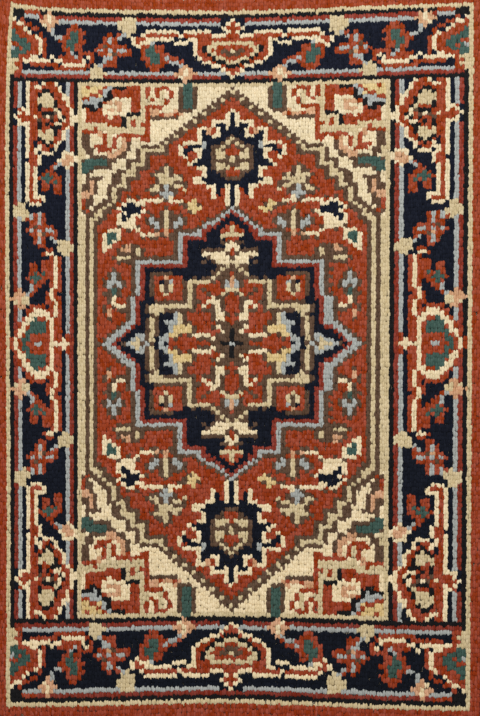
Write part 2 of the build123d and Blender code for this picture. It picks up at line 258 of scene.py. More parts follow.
def cotton(name, shade, thread):
    """Undyed cotton, with thread the width of one turn of its twist."""
    yarn = Recipe(name)
    place = yarn.add("ShaderNodeTexCoord", None, out=3)
    twist = yarn.add(
        "ShaderNodeTexWave",
        {"wave_type": "BANDS", "bands_direction": "DIAGONAL"},
        place,
        Scale=1 / thread / 6,
        Distortion=2.0,
        Detail=2.0,
    )
    fibres = yarn.add("ShaderNodeTexNoise", None, place, Scale=700.0, Detail=3.0)
    stain = yarn.add("ShaderNodeTexNoise", None, place, Scale=24.0, Detail=3.0)
    value = 0.8 + 0.14 * twist + 0.16 * (fibres - 0.5) + 0.3 * (stain - 0.4)
    tone = yarn.add("ShaderNodeHueSaturation", None, Value=value, Color=shade)
    relief = yarn.add(
        "ShaderNodeBump", None, Strength=0.6, Distance=0.3 * MM, Height=0.7 * twist + 0.3 * fibres
    )
    yarn.surface.inputs["Sheen Weight"].default_value = 0.1
    yarn.surface.inputs["Specular IOR Level"].default_value = 0.2
    yarn.wear(Base_Color=tone, Roughness=0.92 - 0.1 * fibres, Normal=relief)
    return yarn.material


SLAB_STEP = 2
slab_columns = np.arange(0, COLUMNS + 1, SLAB_STEP)
slab_rows = np.arange(0, ROWS + 1, SLAB_STEP)
slab_x, slab_y = on_loom(*np.meshgrid(slab_columns, slab_rows))
slab_grid = np.arange(slab_x.size).reshape(slab_x.shape)
slab_points = []
for layer_z in (ground_top, back_top):
    slab_points.append(np.stack((slab_x, slab_y, np.full(slab_x.shape, layer_z)), -1).reshape(-1, 3))
slab_corners = (slab_grid[1:, :-1], slab_grid[1:, 1:], slab_grid[:-1, 1:], slab_grid[:-1, :-1])
slab_faces = np.stack(slab_corners, -1).reshape(-1, 4)
rim = np.concatenate((slab_grid[0, :-1], slab_grid[:-1, -1], slab_grid[-1, :0:-1], slab_grid[:0:-1, 0]))
rim_after = np.roll(rim, -1)
slab_rim = np.stack((rim, rim_after, rim_after + slab_x.size, rim + slab_x.size), -1)
slab_loops = np.concatenate((slab_faces, slab_faces[:, ::-1] + slab_x.size, slab_rim))
foundation = make_piece(
    "foundation", np.concatenate(slab_points), slab_loops.ravel(), np.full(len(slab_loops), 4), False
)
foundation.data.materials.append(cotton("cotton_warp", colour(206, 192, 164), 1.0 * MM))
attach(foundation, "root")
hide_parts("lower_warps", "upper_warps", "cable_wefts")

# ---- Chart of knots ----
# The weaver ties one knot for each square of a chart, row by row. The chart counts columns from
# the left and rows from the head; a quarter is drawn once and turned over for the other three.
# The design turns over about row 90, and the foot border is one row deeper than the head's.
YARNS = ("rust", "rose", "navy", "black", "blue", "ivory", "cream", "brown", "teal", "pink", "gold")
RUST, ROSE, NAVY, BLACK, BLUE, IVORY, CREAM, BROWN, TEAL, PINK, GOLD = range(len(YARNS))
MIRROR_COLUMN = 108
MIRROR_ROW = 180
MIDDLE_COLUMN = 54
MIDDLE_ROW = 90


class Weaver:
    """Draws on a chart, at one place or turned over across the rug, along it, or both."""

    def __init__(self, chart, sides=(1,), ends=(1,), start=(0, 0), turn=(1, 1)):
        self.chart = chart
        self.sides = sides
        self.ends = ends
        self.start = start
        self.turn = turn

    def at(self, column, row, across=1, along=1):
        """The same weaver, counting from a knot and turned over if across or along is -1."""
        return Weaver(self.chart, self.sides, self.ends, (column, row), (across, along))

    def knot(self, yarn, column, row):
        """One knot, with its turned-over copies."""
        placed_column = self.start[0] + self.turn[0] * column
        placed_row = self.start[1] + self.turn[1] * row
        for side in self.sides:
            for end in self.ends:
                c = placed_column if side > 0 else MIRROR_COLUMN - placed_column
                r = placed_row if end > 0 else MIRROR_ROW - placed_row
                if 0 <= c < COLUMNS and 0 <= r < ROWS:
                    self.chart[r, c] = yarn

    def tie(self, yarn, *spots):
        """Knots (column, row) and blocks of them (left, head, right, foot), all in one yarn."""
        for left, head, *far in spots:
            right, foot = far or (left, head)
            for row in range(head, foot + 1):
                for column in range(left, right + 1):
                    self.knot(yarn, column, row)

    def line(self, yarn, *points):
        """A run of knots from point to point."""
        for (c0, r0), (c1, r1) in zip(points, points[1:]):
            steps = max(abs(c1 - c0), abs(r1 - r0), 1)
            for step in range(steps + 1):
                column = math.floor(c0 + (c1 - c0) * step / steps + 0.5)
                row = math.floor(r0 + (r1 - r0) * step / steps + 0.5)
                self.knot(yarn, column, row)

    def shape(self, yarn, *corners):
        """A filled outline whose corners are knots of it."""
        for row in range(min(r for c, r in corners), max(r for c, r in corners) + 1):
            crossings = []
            for (c0, r0), (c1, r1) in zip(corners, corners[1:] + corners[:1]):
                if r0 != r1 and min(r0, r1) <= row < max(r0, r1):
                    crossings.append(c0 + (c1 - c0) * (row - r0) / (r1 - r0))
            crossings.sort()
            for left, right in zip(crossings[::2], crossings[1::2]):
                self.tie(yarn, (math.ceil(left - 0.5), row, math.floor(right + 0.5), row))
        self.line(yarn, *corners, corners[0])

# ---- The design: frame lines ----
# Rust margin, then single lines of cream, black, rose and light blue round a navy border, and the
# same lines again inside it. The head and foot borders run right across and the sides fit between.
chart = np.full((ROWS, COLUMNS), RUST)
whole = Weaver(chart)
sides = Weaver(chart, sides=(1, -1))
four = Weaver(chart, sides=(1, -1), ends=(1, -1))

whole.tie(CREAM, (3, 3, 105, 178))
whole.tie(BLACK, (4, 4, 104, 177))
whole.tie(ROSE, (5, 5, 103, 176))
whole.tie(BLUE, (6, 6, 102, 175))
whole.tie(NAVY, (7, 7, 101, 174))
whole.tie(BLUE, (6, 19, 102, 161))
whole.tie(ROSE, (5, 20, 103, 160))
whole.tie(BLACK, (4, 21, 104, 159))
sides.tie(ROSE, (5, 22, 5, 158), (19, 22, 19, 158))
sides.tie(BLUE, (6, 22, 6, 158), (18, 22, 18, 158))
sides.tie(NAVY, (7, 22, 17, 158))
whole.tie(CREAM, (21, 22, 87, 158))


# ---- The design: flowers of the borders ----
# Small flowers hang on the frame lines by a stalk, and each is tied the same way wherever it comes.
def rosette(weaver, petal, heart):
    """A small round flower, five knots across, with a heart off its middle."""
    weaver.tie(petal, (-1, -1, 1, 1), (0, -2), (-2, 0), (2, 0), (0, 2))
    weaver.tie(heart, (0, 0), (0, -1), (-1, 1))


def cross_flower(weaver):
    """Four rust petals with a light blue bar down each."""
    weaver.tie(RUST, (-1, -4, 1, 4), (-3, -1, 4, 1))
    weaver.tie(BROWN, (-1, -1), (1, 1))
    weaver.tie(NAVY, (-1, -4), (1, -4), (-1, 4), (-3, -1), (-3, 1), (4, -1))
    weaver.tie(BLUE, (-2, 0), (0, 0), (2, 0), (3, 0), (0, -3), (0, -2), (0, 2), (0, 3))
    weaver.tie(PINK, (0, 1))


def leaf_flower(weaver):
    """A rust leaf curling round a teal heart, with its light blue stalk below."""
    weaver.tie(RUST, (0, -4), (1, -4), (-1, -3, 1, -3), (2, -3, 2, 2), (-1, -2), (3, -2))
    weaver.tie(RUST, (-2, -1, -2, 2), (-1, -1), (3, 0), (1, 1), (-1, 2), (1, 2), (-1, 3))
    weaver.tie(TEAL, (0, -2, 0, 2), (1, -2, 1, 0), (-1, 0), (-1, 1))
    weaver.tie(BLUE, (0, 3), (1, 4))


def sprig(weaver):
    """Two rust leaves on one stalk, each round a teal heart."""
    weaver.tie(RUST, (0, -2), (1, -2), (-1, -1), (1, -1), (2, -1), (-2, 0), (2, 0), (3, 0, 3, 4))
    weaver.tie(RUST, (-1, 1, -1, 3), (1, 1), (0, 2), (2, 2, 2, 4), (0, 3))
    weaver.tie(TEAL, (0, -1), (-1, 0, 1, 0), (0, 1), (2, 1))


# ---- The design: head and foot borders ----
# Half a palmette fills each corner, a whole one hangs in the middle, and an ivory vine edged with
# rust joins them across the navy ground.
# The half palmette in each corner, and the vine that leaves it.
four.tie(NAVY, (4, 6, 10, 18))
four.tie(RUST, (7, 4, 10, 4))
four.tie(BLUE, (7, 5, 10, 5))
four.tie(BLACK, (4, 4, 6, 5))
four.line(RUST, (6, 6), (10, 8), (12, 11), (12, 14), (11, 16))
four.shape(IVORY, (4, 6), (11, 11), (11, 14), (9, 16), (4, 17))
four.shape(RUST, (4, 7), (10, 11), (10, 14), (8, 15), (4, 16))
four.shape(TEAL, (4, 9), (8, 12), (8, 13), (6, 15), (4, 15))
four.tie(
    RUST, (4, 12), (5, 12), (6, 13), (6, 15, 7, 16), (16, 15, 21, 16), (9, 17, 15, 17),
    (15, 18, 22, 18),
)
four.tie(BLUE, (4, 13))
four.tie(CREAM, (4, 16, 4, 19), (5, 16), (5, 18))
four.line(RUST, (5, 17), (6, 17), (6, 19), (5, 19))
four.line(RUST, (21, 14), (24, 14), (24, 16), (23, 17))
four.line(IVORY, (7, 16), (13, 16), (14, 15), (16, 16), (17, 17), (21, 17), (23, 15))
four.tie(IVORY, (9, 15), (22, 17))

# Leaf flowers and a cross flower on their stalks, with rosettes and cream squares on the lines.
leaf_flower(four.at(19, 11))
four.line(RUST, (14, 9), (17, 12))
four.tie(BLUE, (14, 8), (14, 9), (31, 9), (15, 10), (16, 10), (30, 10))
rosette(four.at(13, 6), PINK, IVORY)
cross_flower(four.at(28, 13))
four.tie(CREAM, (31, 5, 33, 8), (30, 6, 33, 7), (32, 9), (25, 17), (24, 18, 26, 20), (27, 19))
four.tie(RUST, (30, 9))
four.line(BLUE, (26, 17), (27, 15))
four.line(RUST, (27, 17), (28, 16))
leaf_flower(four.at(37, 14, 1, -1))
four.line(RUST, (40, 14), (43, 16))
four.line(BLUE, (40, 15), (43, 17))
rosette(four.at(44, 19), PINK, IVORY)

# The vine on its way to the middle.
four.tie(RUST, (35, 9, 53, 9), (34, 10), (35, 10), (34, 11))
four.line(IVORY, (35, 9), (36, 8), (42, 8))
four.tie(
    IVORY, (44, 8, 49, 8), (43, 9), (50, 9), (51, 9), (36, 10, 41, 10), (45, 10), (46, 10), (36, 11),
    (42, 11, 44, 11),
)
four.line(IVORY, (33, 10), (33, 11), (34, 12), (35, 11))

# The palmette in the middle, ring within ring.
four.shape(IVORY, (46, 11), (46, 14), (48, 16), (51, 17), (54, 20), (54, 11))
four.shape(RUST, (47, 10), (47, 14), (49, 15), (52, 17), (54, 19), (54, 10))
four.shape(BLACK, (48, 12), (48, 13), (50, 15), (52, 16), (54, 17), (54, 12))
four.shape(CREAM, (50, 11), (49, 12), (49, 13), (51, 15), (54, 16), (54, 11))
four.shape(RUST, (51, 12), (50, 13), (52, 14), (54, 15), (54, 12))
four.shape(BROWN, (52, 13), (53, 14), (54, 14), (54, 13))
four.tie(CREAM, (54, 13))
four.tie(NAVY, (52, 5), (53, 5), (52, 6), (52, 20), (53, 20))
four.tie(IVORY, (54, 5), (53, 6), (52, 7), (53, 8), (52, 9))
four.tie(RUST, (54, 6, 54, 9), (53, 7))

# ---- The design: side borders ----
# Three palmettes stand in each side, the outer two ringed in black and the middle one with a teal
# heart, and the vine runs on between them from one edge of the ground to the other.
# The black-ringed palmette.
four.tie(NAVY, (5, 29, 6, 33))
four.tie(RUST, (9, 22, 10, 37), (19, 28), (19, 34))
four.shape(
    RUST, (12, 22), (14, 22), (19, 31), (16, 37), (14, 39), (13, 40), (11, 39), (10, 36), (10, 24)
)
four.shape(BLACK, (12, 24), (13, 24), (17, 31), (14, 37), (13, 39), (11, 37), (11, 25))
four.tie(IVORY, (8, 22, 8, 42), (18, 26), (19, 31), (19, 32), (11, 39))
four.line(IVORY, (10, 23), (12, 22))
four.line(IVORY, (15, 22), (16, 24), (17, 26), (18, 28), (19, 30), (20, 32))
four.line(IVORY, (19, 33), (18, 34), (17, 35), (17, 37), (15, 39), (14, 41), (12, 41), (11, 40))
four.shape(CREAM, (12, 25), (13, 25), (14, 26), (14, 28), (11, 27))
four.tie(CREAM, (12, 28), (15, 29))
four.shape(RUST, (12, 29), (14, 29), (15, 31), (15, 33), (12, 34), (11, 31))
four.tie(BLACK, (12, 30, 14, 30), (14, 32), (13, 33))
four.tie(BROWN, (15, 30), (12, 31), (14, 31), (11, 32))
four.tie(IVORY, (16, 30), (10, 31), (13, 31), (16, 31), (17, 32), (15, 33), (16, 33))
four.shape(CREAM, (11, 35), (14, 35), (14, 36), (13, 38), (11, 36))
four.tie(RUST, (6, 29), (6, 30, 8, 32), (12, 35))
four.tie(IVORY, (7, 29), (6, 30), (8, 30), (5, 31), (6, 32), (6, 33), (7, 33))

# The vine with its flowers, down to the cross flower.
four.tie(
    RUST, (9, 38, 9, 54), (10, 42, 10, 44), (15, 44), (14, 45), (10, 54), (11, 54), (8, 59), (9, 60),
)
four.line(IVORY, (8, 44), (8, 54), (10, 55), (11, 55))
four.line(IVORY, (10, 40), (10, 41), (11, 42), (11, 44), (10, 45), (10, 53))
four.tie(IVORY, (11, 53), (12, 53), (12, 54))
rosette(four.at(18, 43), IVORY, PINK)
four.tie(PINK, (17, 42, 19, 44))
four.tie(IVORY, (17, 41), (19, 41), (17, 42), (20, 42), (19, 44))
four.tie(BLUE, (16, 44), (15, 45), (9, 58), (9, 59))
sprig(four.at(13, 48))
four.tie(
    CREAM, (6, 55), (7, 55), (5, 56, 7, 58), (8, 57), (8, 58), (7, 59), (16, 65, 18, 65),
    (16, 66, 19, 67), (17, 68), (18, 68),
)
cross_flower(four.at(11, 62))
four.tie(BLUE, (11, 58), (14, 64), (15, 65))
four.tie(RUST, (10, 58), (12, 58), (15, 64))

# The vine on the other edge.
four.tie(RUST, (12, 67, 14, 68), (14, 69, 16, 84), (10, 77), (9, 78), (13, 78, 13, 80))
four.tie(IVORY, (13, 68), (14, 68), (15, 69, 15, 76), (14, 77, 14, 79), (15, 80, 15, 83))
four.tie(NAVY, (12, 67), (16, 78))
sprig(four.at(10, 74, 1, -1))
four.tie(BLUE, (9, 76), (9, 77), (8, 78))
four.tie(PINK, (6, 77), (5, 78, 7, 80), (4, 79), (6, 81), (7, 81))
four.tie(CREAM, (7, 79), (8, 79), (5, 80), (7, 80), (8, 80))

# The palmette with the teal heart.
four.shape(RUST, (9, 81), (12, 81), (14, 83), (16, 84), (16, 90), (4, 90), (5, 87), (7, 84))
four.shape(IVORY, (10, 82), (12, 82), (14, 84), (14, 90), (5, 90), (6, 87), (8, 84))
four.shape(RUST, (10, 84), (12, 84), (13, 85), (13, 90), (6, 90), (7, 88), (9, 85))
four.shape(TEAL, (10, 84), (12, 85), (12, 87), (10, 88), (7, 90), (8, 88), (9, 85))
four.tie(RUST, (9, 88, 12, 90), (18, 88), (18, 89), (19, 90))
four.tie(BLUE, (10, 90), (11, 90))
four.tie(IVORY, (17, 89), (15, 90, 18, 90))

# ---- The design: corner pieces ----
# Outside the pointed field, each corner holds a scroll of rust and pink leaves on ivory, with a teal
# bar at each of its far ends and a black and light blue zigzag across its inmost corner.
# The ivory ground, the zigzag and the largest leaf.
four.shape(IVORY, (22, 22), (54, 22), (54, 24), (22, 58))
four.tie(CREAM, (21, 22, 54, 22), (35, 22, 35, 36), (32, 31, 34, 34), (22, 33, 27, 34))
four.tie(GOLD, (22, 23, 26, 25))
four.tie(
    RUST, (23, 23), (32, 23, 34, 23), (29, 24, 34, 29), (22, 26), (23, 26), (26, 27, 27, 30),
    (23, 29, 31, 32), (28, 33, 30, 33),
)
four.line(RUST, (24, 25), (25, 25), (27, 23))
four.line(BLUE, (28, 23), (27, 24), (27, 25), (25, 26), (22, 27))
four.tie(BLUE, (24, 27), (25, 27), (25, 28))
four.tie(
    BLACK, (29, 23, 31, 23), (28, 24, 28, 26), (27, 26), (26, 27), (22, 28, 24, 28), (26, 28),
    (24, 29), (25, 29), (32, 30, 34, 30),
)
four.shape(IVORY, (29, 26), (32, 26), (32, 27), (31, 31), (28, 31), (27, 30), (27, 28))
four.tie(PINK, (28, 27, 30, 29))
four.tie(IVORY, (28, 28), (29, 28))
four.tie(RUST, (29, 31), (30, 31), (33, 32, 33, 33), (25, 34))
four.tie(BLACK, (31, 31, 31, 34))
four.tie(CREAM, (28, 34, 34, 35))

# The scroll that runs along the head to its teal bar.
four.tie(
    RUST, (36, 23, 36, 25), (38, 23, 38, 25), (37, 26), (35, 33), (36, 33, 36, 37), (35, 36), (35, 37),
)
four.line(RUST, (39, 23), (40, 23), (41, 24), (41, 25), (40, 26), (40, 27))
four.tie(CREAM, (39, 24, 39, 27), (36, 26, 36, 27))
four.line(RUST, (39, 28), (36, 28), (36, 32))
four.tie(PINK, (37, 29, 38, 29), (42, 29), (37, 30, 41, 30), (43, 30))
four.tie(BROWN, (43, 23, 43, 28), (46, 23, 46, 28), (43, 29, 45, 29), (37, 31, 42, 31))
four.tie(RUST, (39, 30), (42, 30))
four.tie(TEAL, (44, 22, 45, 28))

# The scroll that runs down the side to its teal bar.
four.tie(
    RUST, (22, 35, 25, 35), (27, 36), (30, 36, 32, 36), (33, 36), (34, 36), (29, 37, 29, 39), (32, 37),
    (27, 39), (26, 40), (22, 54, 23, 57),
)
four.tie(BROWN, (22, 36, 23, 39), (32, 38, 32, 40), (23, 40, 24, 41))
four.tie(CREAM, (28, 35, 28, 39), (22, 40, 22, 43))
four.tie(
    PINK, (26, 35), (26, 36), (30, 37, 31, 41), (28, 41, 29, 42), (24, 49, 24, 52), (22, 52, 23, 53),
)
four.line(RUST, (27, 37), (27, 38), (25, 39), (28, 40))
four.tie(IVORY, (30, 37, 30, 39))
four.tie(
    BROWN, (31, 41), (24, 42, 27, 42), (30, 42), (31, 42), (22, 43), (28, 43), (29, 43), (28, 44),
    (25, 45, 28, 45), (24, 46), (23, 47), (23, 48, 23, 51), (24, 48, 26, 48), (25, 49, 25, 52),
    (22, 50), (22, 51), (24, 53, 24, 55), (23, 54, 23, 56), (22, 57),
)
four.tie(TEAL, (23, 43), (24, 43, 27, 44), (22, 44, 24, 45), (22, 46), (23, 46))

# ---- The design: the field ----
# The rust field runs straight down the sides between brown and cream lines and comes to a point at
# each end. It is scattered with small birds, hooks and sprays.
# The steps of the edging, from the outside in, each followed from the point down to the side.
OUTER_STAIRS = ((54, 23), (39, 38), (38, 39), (35, 39), (34, 40), (34, 42), (32, 43), (32, 45), (30, 46))
OUTER_STAIRS += ((29, 47), (29, 49), (28, 50), (28, 53), (27, 54), (23, 58), (23, 90))
CREAM_STAIRS = ((54, 24), (40, 38), (39, 39), (39, 40), (35, 40), (35, 43), (33, 44), (33, 45), (32, 46))
CREAM_STAIRS += ((32, 47), (31, 47), (31, 49), (30, 50), (29, 51), (29, 54), (24, 59), (24, 90))
INNER_STAIRS = ((54, 25), (41, 38), (40, 39), (40, 41), (36, 41), (36, 44), (34, 45), (34, 48), (32, 48))
INNER_STAIRS += ((32, 50), (30, 51), (30, 54), (25, 60), (25, 90))
FIELD_STAIRS = ((54, 26), (42, 38), (41, 40), (41, 42), (37, 42), (37, 45), (35, 46), (35, 49), (33, 49))
FIELD_STAIRS += ((33, 51), (31, 52), (31, 55), (26, 61), (26, 90))
four.shape(BROWN, *OUTER_STAIRS, (54, 90))
four.shape(CREAM, *CREAM_STAIRS, (54, 90))
four.shape(BROWN, *INNER_STAIRS, (54, 90))
four.shape(RUST, *FIELD_STAIRS, (54, 90))
four.tie(BROWN, *[(53 - 2 * step, 25 + 2 * step) for step in range(7)])

# The cream spray and the hook under it.
four.tie(
    CREAM, (40, 45, 40, 47), (38, 47), (39, 47), (42, 47), (39, 48, 42, 48), (43, 48),
    (39, 49, 41, 49), (38, 50), (42, 50), (43, 50), (37, 51), (38, 51), (44, 51),
)
four.tie(
    BROWN, (39, 45), (41, 45, 41, 47), (39, 46), (43, 47), (38, 48), (38, 49), (42, 49, 44, 49),
    (39, 50), (41, 50), (44, 50), (36, 51), (39, 51), (41, 51), (42, 51), (37, 52), (38, 52), (42, 52),
    (32, 53), (34, 53), (39, 53), (40, 54), (43, 55), (44, 55), (47, 55), (44, 56), (45, 57),
)
four.tie(BLUE, (40, 50, 40, 53), (39, 52), (41, 52))
four.tie(IVORY, (41, 53), (32, 54), (33, 54), (35, 54, 39, 54), (41, 54, 43, 54))
four.tie(GOLD, (46, 54), (45, 55, 46, 56), (47, 56), (46, 57))

# The bird.
four.tie(IVORY, (30, 55, 35, 57), (30, 58, 34, 60), (31, 61, 33, 61), (30, 62), (34, 62))
four.tie(RUST, (30, 55), (35, 56), (30, 57), (34, 59), (34, 60))
four.tie(NAVY, (32, 55, 33, 57), (31, 56), (34, 56), (34, 57), (31, 58), (32, 58), (31, 59))
four.tie(BROWN, (36, 57), (30, 61), (34, 61), (32, 62))

# The small tree.
four.tie(IVORY, (35, 63, 38, 63))
four.tie(CREAM, (40, 57, 40, 61))
four.tie(
    BROWN, (37, 58), (39, 58, 39, 61), (41, 58, 41, 61), (42, 58), (43, 58), (38, 59), (36, 60),
    (44, 60), (37, 61), (38, 62), (39, 63), (41, 63), (35, 64), (37, 64), (38, 64), (41, 64),
)
four.tie(BLUE, (37, 59), (43, 59), (37, 60), (38, 60), (42, 60), (43, 60), (38, 61), (42, 61))
four.tie(PINK, (40, 62), (38, 63), (40, 63))

# The leaf, the chequer and the upright sprays along the side.
four.tie(
    IVORY, (28, 62), (29, 62), (27, 63, 27, 67), (30, 63), (30, 64), (29, 65), (28, 66), (29, 79),
    (29, 80), (30, 81), (31, 81),
)
four.tie(TEAL, (28, 63, 29, 64), (28, 65), (29, 77), (29, 78))
four.tie(
    BROWN, (30, 66, 35, 70), (28, 73), (28, 74), (30, 74), (27, 75), (31, 75), (29, 76),
    (28, 77, 28, 80), (30, 77), (27, 78), (27, 81), (29, 81), (32, 81), (27, 82), (30, 82), (31, 82),
    (28, 84),
)
four.tie(RUST, (30, 66), (35, 66), (30, 68), (35, 68), (35, 69), (32, 70))
four.tie(PINK, (32, 66), (31, 67), (32, 67), (28, 82), (28, 83))
four.tie(CREAM, (34, 67), (34, 68), (30, 69, 32, 69))
four.tie(BLUE, (29, 73, 29, 75), (28, 75), (30, 75), (28, 76), (30, 76))

# ---- The design: the pendants ----
# A spiked navy flower on the field's middle line beyond each point of the medallion.
# The navy flower and its ivory spikes.
four.shape(NAVY, (54, 34), (51, 34), (48, 36), (48, 44), (49, 48), (54, 50))
four.tie(NAVY, (48, 35, 54, 49))
four.tie(
    IVORY, (53, 29, 54, 33), (50, 32, 52, 32), (50, 33), (47, 34, 47, 38), (48, 34), (51, 34, 51, 36),
    (50, 36), (44, 38, 46, 38), (43, 39, 43, 41), (46, 40), (47, 40, 47, 42), (44, 42), (46, 43),
    (45, 44), (47, 45), (48, 45, 48, 47), (46, 48), (47, 48), (46, 49, 48, 49), (49, 50), (50, 50),
    (53, 50, 53, 55), (50, 51, 50, 53),
)
four.tie(RUST, (53, 29), (50, 35))
four.tie(
    NAVY, (54, 30, 54, 35), (51, 33, 52, 33), (45, 39, 47, 39), (44, 40, 44, 41), (45, 40), (47, 43),
    (46, 44), (47, 44), (54, 49, 54, 55), (51, 50, 51, 52), (52, 50),
)
four.tie(PINK, (49, 34), (49, 35))
four.tie(BLUE, (48, 38), (48, 39))

# Its brown heart with a cream ring.
four.shape(BROWN, (54, 36), (52, 38), (50, 39), (50, 45), (52, 47), (54, 48))
four.tie(
    CREAM, (54, 37), (53, 38), (52, 39), (51, 40, 51, 45), (52, 41), (52, 42), (54, 42), (54, 43),
    (52, 44), (52, 45), (53, 45),
)
four.shape(RUST, (54, 39), (53, 40), (53, 41), (54, 41))
four.shape(RUST, (54, 45), (53, 46), (53, 47), (54, 47))
four.tie(BROWN, (51, 43))

# ---- The design: the medallion ----
# A stepped navy star outlined in light blue and rose. A rust square with a ringed flower stands in
# each shoulder, and a rust panel with a cream edge holds the cross at the very middle.
BLUE_STEPS = ((54, 56), (48, 61), (47, 62), (47, 63), (43, 63), (43, 70), (34, 70), (34, 78), (33, 79))
BLUE_STEPS += ((33, 84), (32, 85), (28, 89), (27, 90))
ROSE_STEPS = ((54, 57), (49, 61), (48, 62), (48, 64), (44, 64), (44, 71), (35, 71), (35, 78), (34, 79))
ROSE_STEPS += ((34, 85), (29, 90))
NAVY_STEPS = ((54, 58), (50, 62), (49, 63), (49, 65), (45, 65), (45, 72), (36, 72), (36, 79), (35, 80))
NAVY_STEPS += ((35, 85), (30, 90))
four.shape(BLUE, *BLUE_STEPS, (54, 90))
four.shape(ROSE, *ROSE_STEPS, (54, 90))
four.shape(NAVY, *NAVY_STEPS, (54, 90))
four.tie(BLUE, (51, 59), (50, 60))
four.tie(
    BROWN, (52, 57), (50, 59), (47, 61), (44, 62, 46, 62), (42, 64), (42, 66), (42, 68), (36, 69),
    (38, 69), (40, 69), (41, 69), (33, 72), (33, 74), (33, 76), (33, 78), (32, 80), (32, 82),
)

# The squares in the shoulders.
four.tie(BROWN, (37, 73, 44, 80))
four.tie(RUST, (38, 74, 43, 79))
four.tie(NAVY, (42, 73, 44, 73), (44, 74), (39, 75), (37, 79), (37, 80))
four.tie(CREAM, (39, 76), (41, 76), (39, 77), (41, 77), (40, 78))
four.tie(PINK, (40, 74))
four.tie(BROWN, (40, 75, 40, 77))
four.tie(BLUE, (41, 75))

# The ivory lily at each end of the navy ground.
four.shape(RUST, (54, 60), (53, 61), (52, 62), (52, 63), (53, 64), (54, 65))
four.tie(CREAM, (54, 61, 54, 63), (52, 63, 53, 63))
four.tie(
    BROWN, (52, 65), (53, 65), (48, 67, 52, 67), (53, 68), (49, 69), (54, 69), (48, 70), (50, 70),
    (51, 71),
)
four.tie(
    IVORY, (54, 65), (53, 66), (54, 66), (53, 67), (48, 68), (49, 68, 52, 68), (50, 69, 52, 69),
    (53, 69), (51, 70, 52, 70), (53, 70),
)
four.tie(RUST, (54, 67), (54, 68))

# The panel, with its cream edge and the navy and gold wings inside it.
PANEL_STEPS = ((54, 70), (49, 75), (45, 75), (45, 81), (37, 81), (37, 88), (34, 91))
four.shape(BROWN, *PANEL_STEPS, (54, 91))
four.shape(RUST, (54, 73), (50, 76), (47, 76), (47, 82), (44, 84), (41, 90), (41, 91), (54, 91))
four.line(CREAM, *PANEL_STEPS[:4], (40, 81))
four.tie(CREAM, (37, 81, 39, 82), (38, 83), (43, 83, 43, 85), (37, 84, 37, 89))
four.tie(
    BROWN, (52, 71), (51, 72), (50, 73), (46, 74), (48, 74), (49, 74), (36, 81), (36, 82),
    (36, 84, 36, 87), (44, 84), (44, 85), (45, 85), (46, 86), (46, 87), (43, 88), (45, 88), (42, 89),
)
four.shape(NAVY, (39, 83), (41, 83), (41, 84), (40, 89), (39, 91), (38, 91), (38, 89), (39, 88))
four.tie(
    BLUE, (42, 83, 42, 85), (40, 85, 41, 85), (41, 86, 41, 88), (40, 88), (40, 89), (39, 90), (39, 91),
)
four.tie(GOLD, (42, 86, 45, 87), (41, 88), (42, 88))

# The small arrow at each side of the panel.
four.tie(BLUE, (34, 88), (35, 88), (33, 89), (35, 89), (32, 90), (36, 90))
four.tie(CREAM, (34, 89), (33, 90), (34, 90))
four.tie(BROWN, (36, 88), (31, 90))

# The ivory hooks and the dark cross in the middle.
four.tie(BLUE, (53, 75, 54, 77), (54, 90))
four.tie(PINK, (54, 74, 54, 76))
four.tie(CREAM, (53, 77), (54, 77), (52, 78))
four.tie(
    BROWN, (53, 74), (52, 75), (52, 76), (48, 77), (49, 78), (53, 78), (51, 79), (52, 79, 52, 82),
    (47, 80), (50, 81, 50, 84), (48, 82), (49, 82), (53, 83), (51, 85), (52, 85), (53, 85, 53, 88),
    (50, 86), (52, 86), (54, 86), (51, 88), (52, 88), (47, 89, 49, 89), (50, 90), (51, 90),
    (51, 91, 53, 91),
)
four.tie(
    IVORY, (50, 79), (49, 80), (50, 80), (51, 80, 51, 84), (48, 81), (52, 83), (52, 84), (51, 86),
    (52, 87), (46, 88, 49, 88), (50, 89),
)
four.tie(BLACK, (54, 87, 54, 89), (52, 90), (53, 90))


def narrow_right(woven):
    """Moves the medallion's right half in, because it came out one knot narrower than the left."""
    woven[56:125, 58:75] = woven[56:125, 59:76]


narrow_right(chart)

# The light blue, cream and teal of the open field are outlined in brown.
open_field = np.zeros((ROWS, COLUMNS), int)
field_weaver = Weaver(open_field, sides=(1, -1), ends=(1, -1))
field_weaver.shape(1, *FIELD_STAIRS, (54, 90))
field_weaver.shape(0, *BLUE_STEPS, (54, 90))
field_weaver.tie(0, (42, 27, 54, 55))
narrow_right(open_field)
outlined = np.isin(chart, (BLUE, CREAM, TEAL))
beside_outlined = outlined.copy()
for step, axis in ((1, 0), (-1, 0), (1, 1), (-1, 1)):
    beside_outlined |= np.roll(outlined, step, axis)
chart[beside_outlined & (chart == RUST) & (open_field == 1)] = BROWN


# ---- Wool yarns ----
# Handspun wool, each colour dyed in its own small lots, so a colour drifts from row to row and the cut
# ends of every knot catch the light a little differently. The roots are painted darker than the tips, as
# painted shade down in the pile.
PLY_PITCH = 1.1 * MM


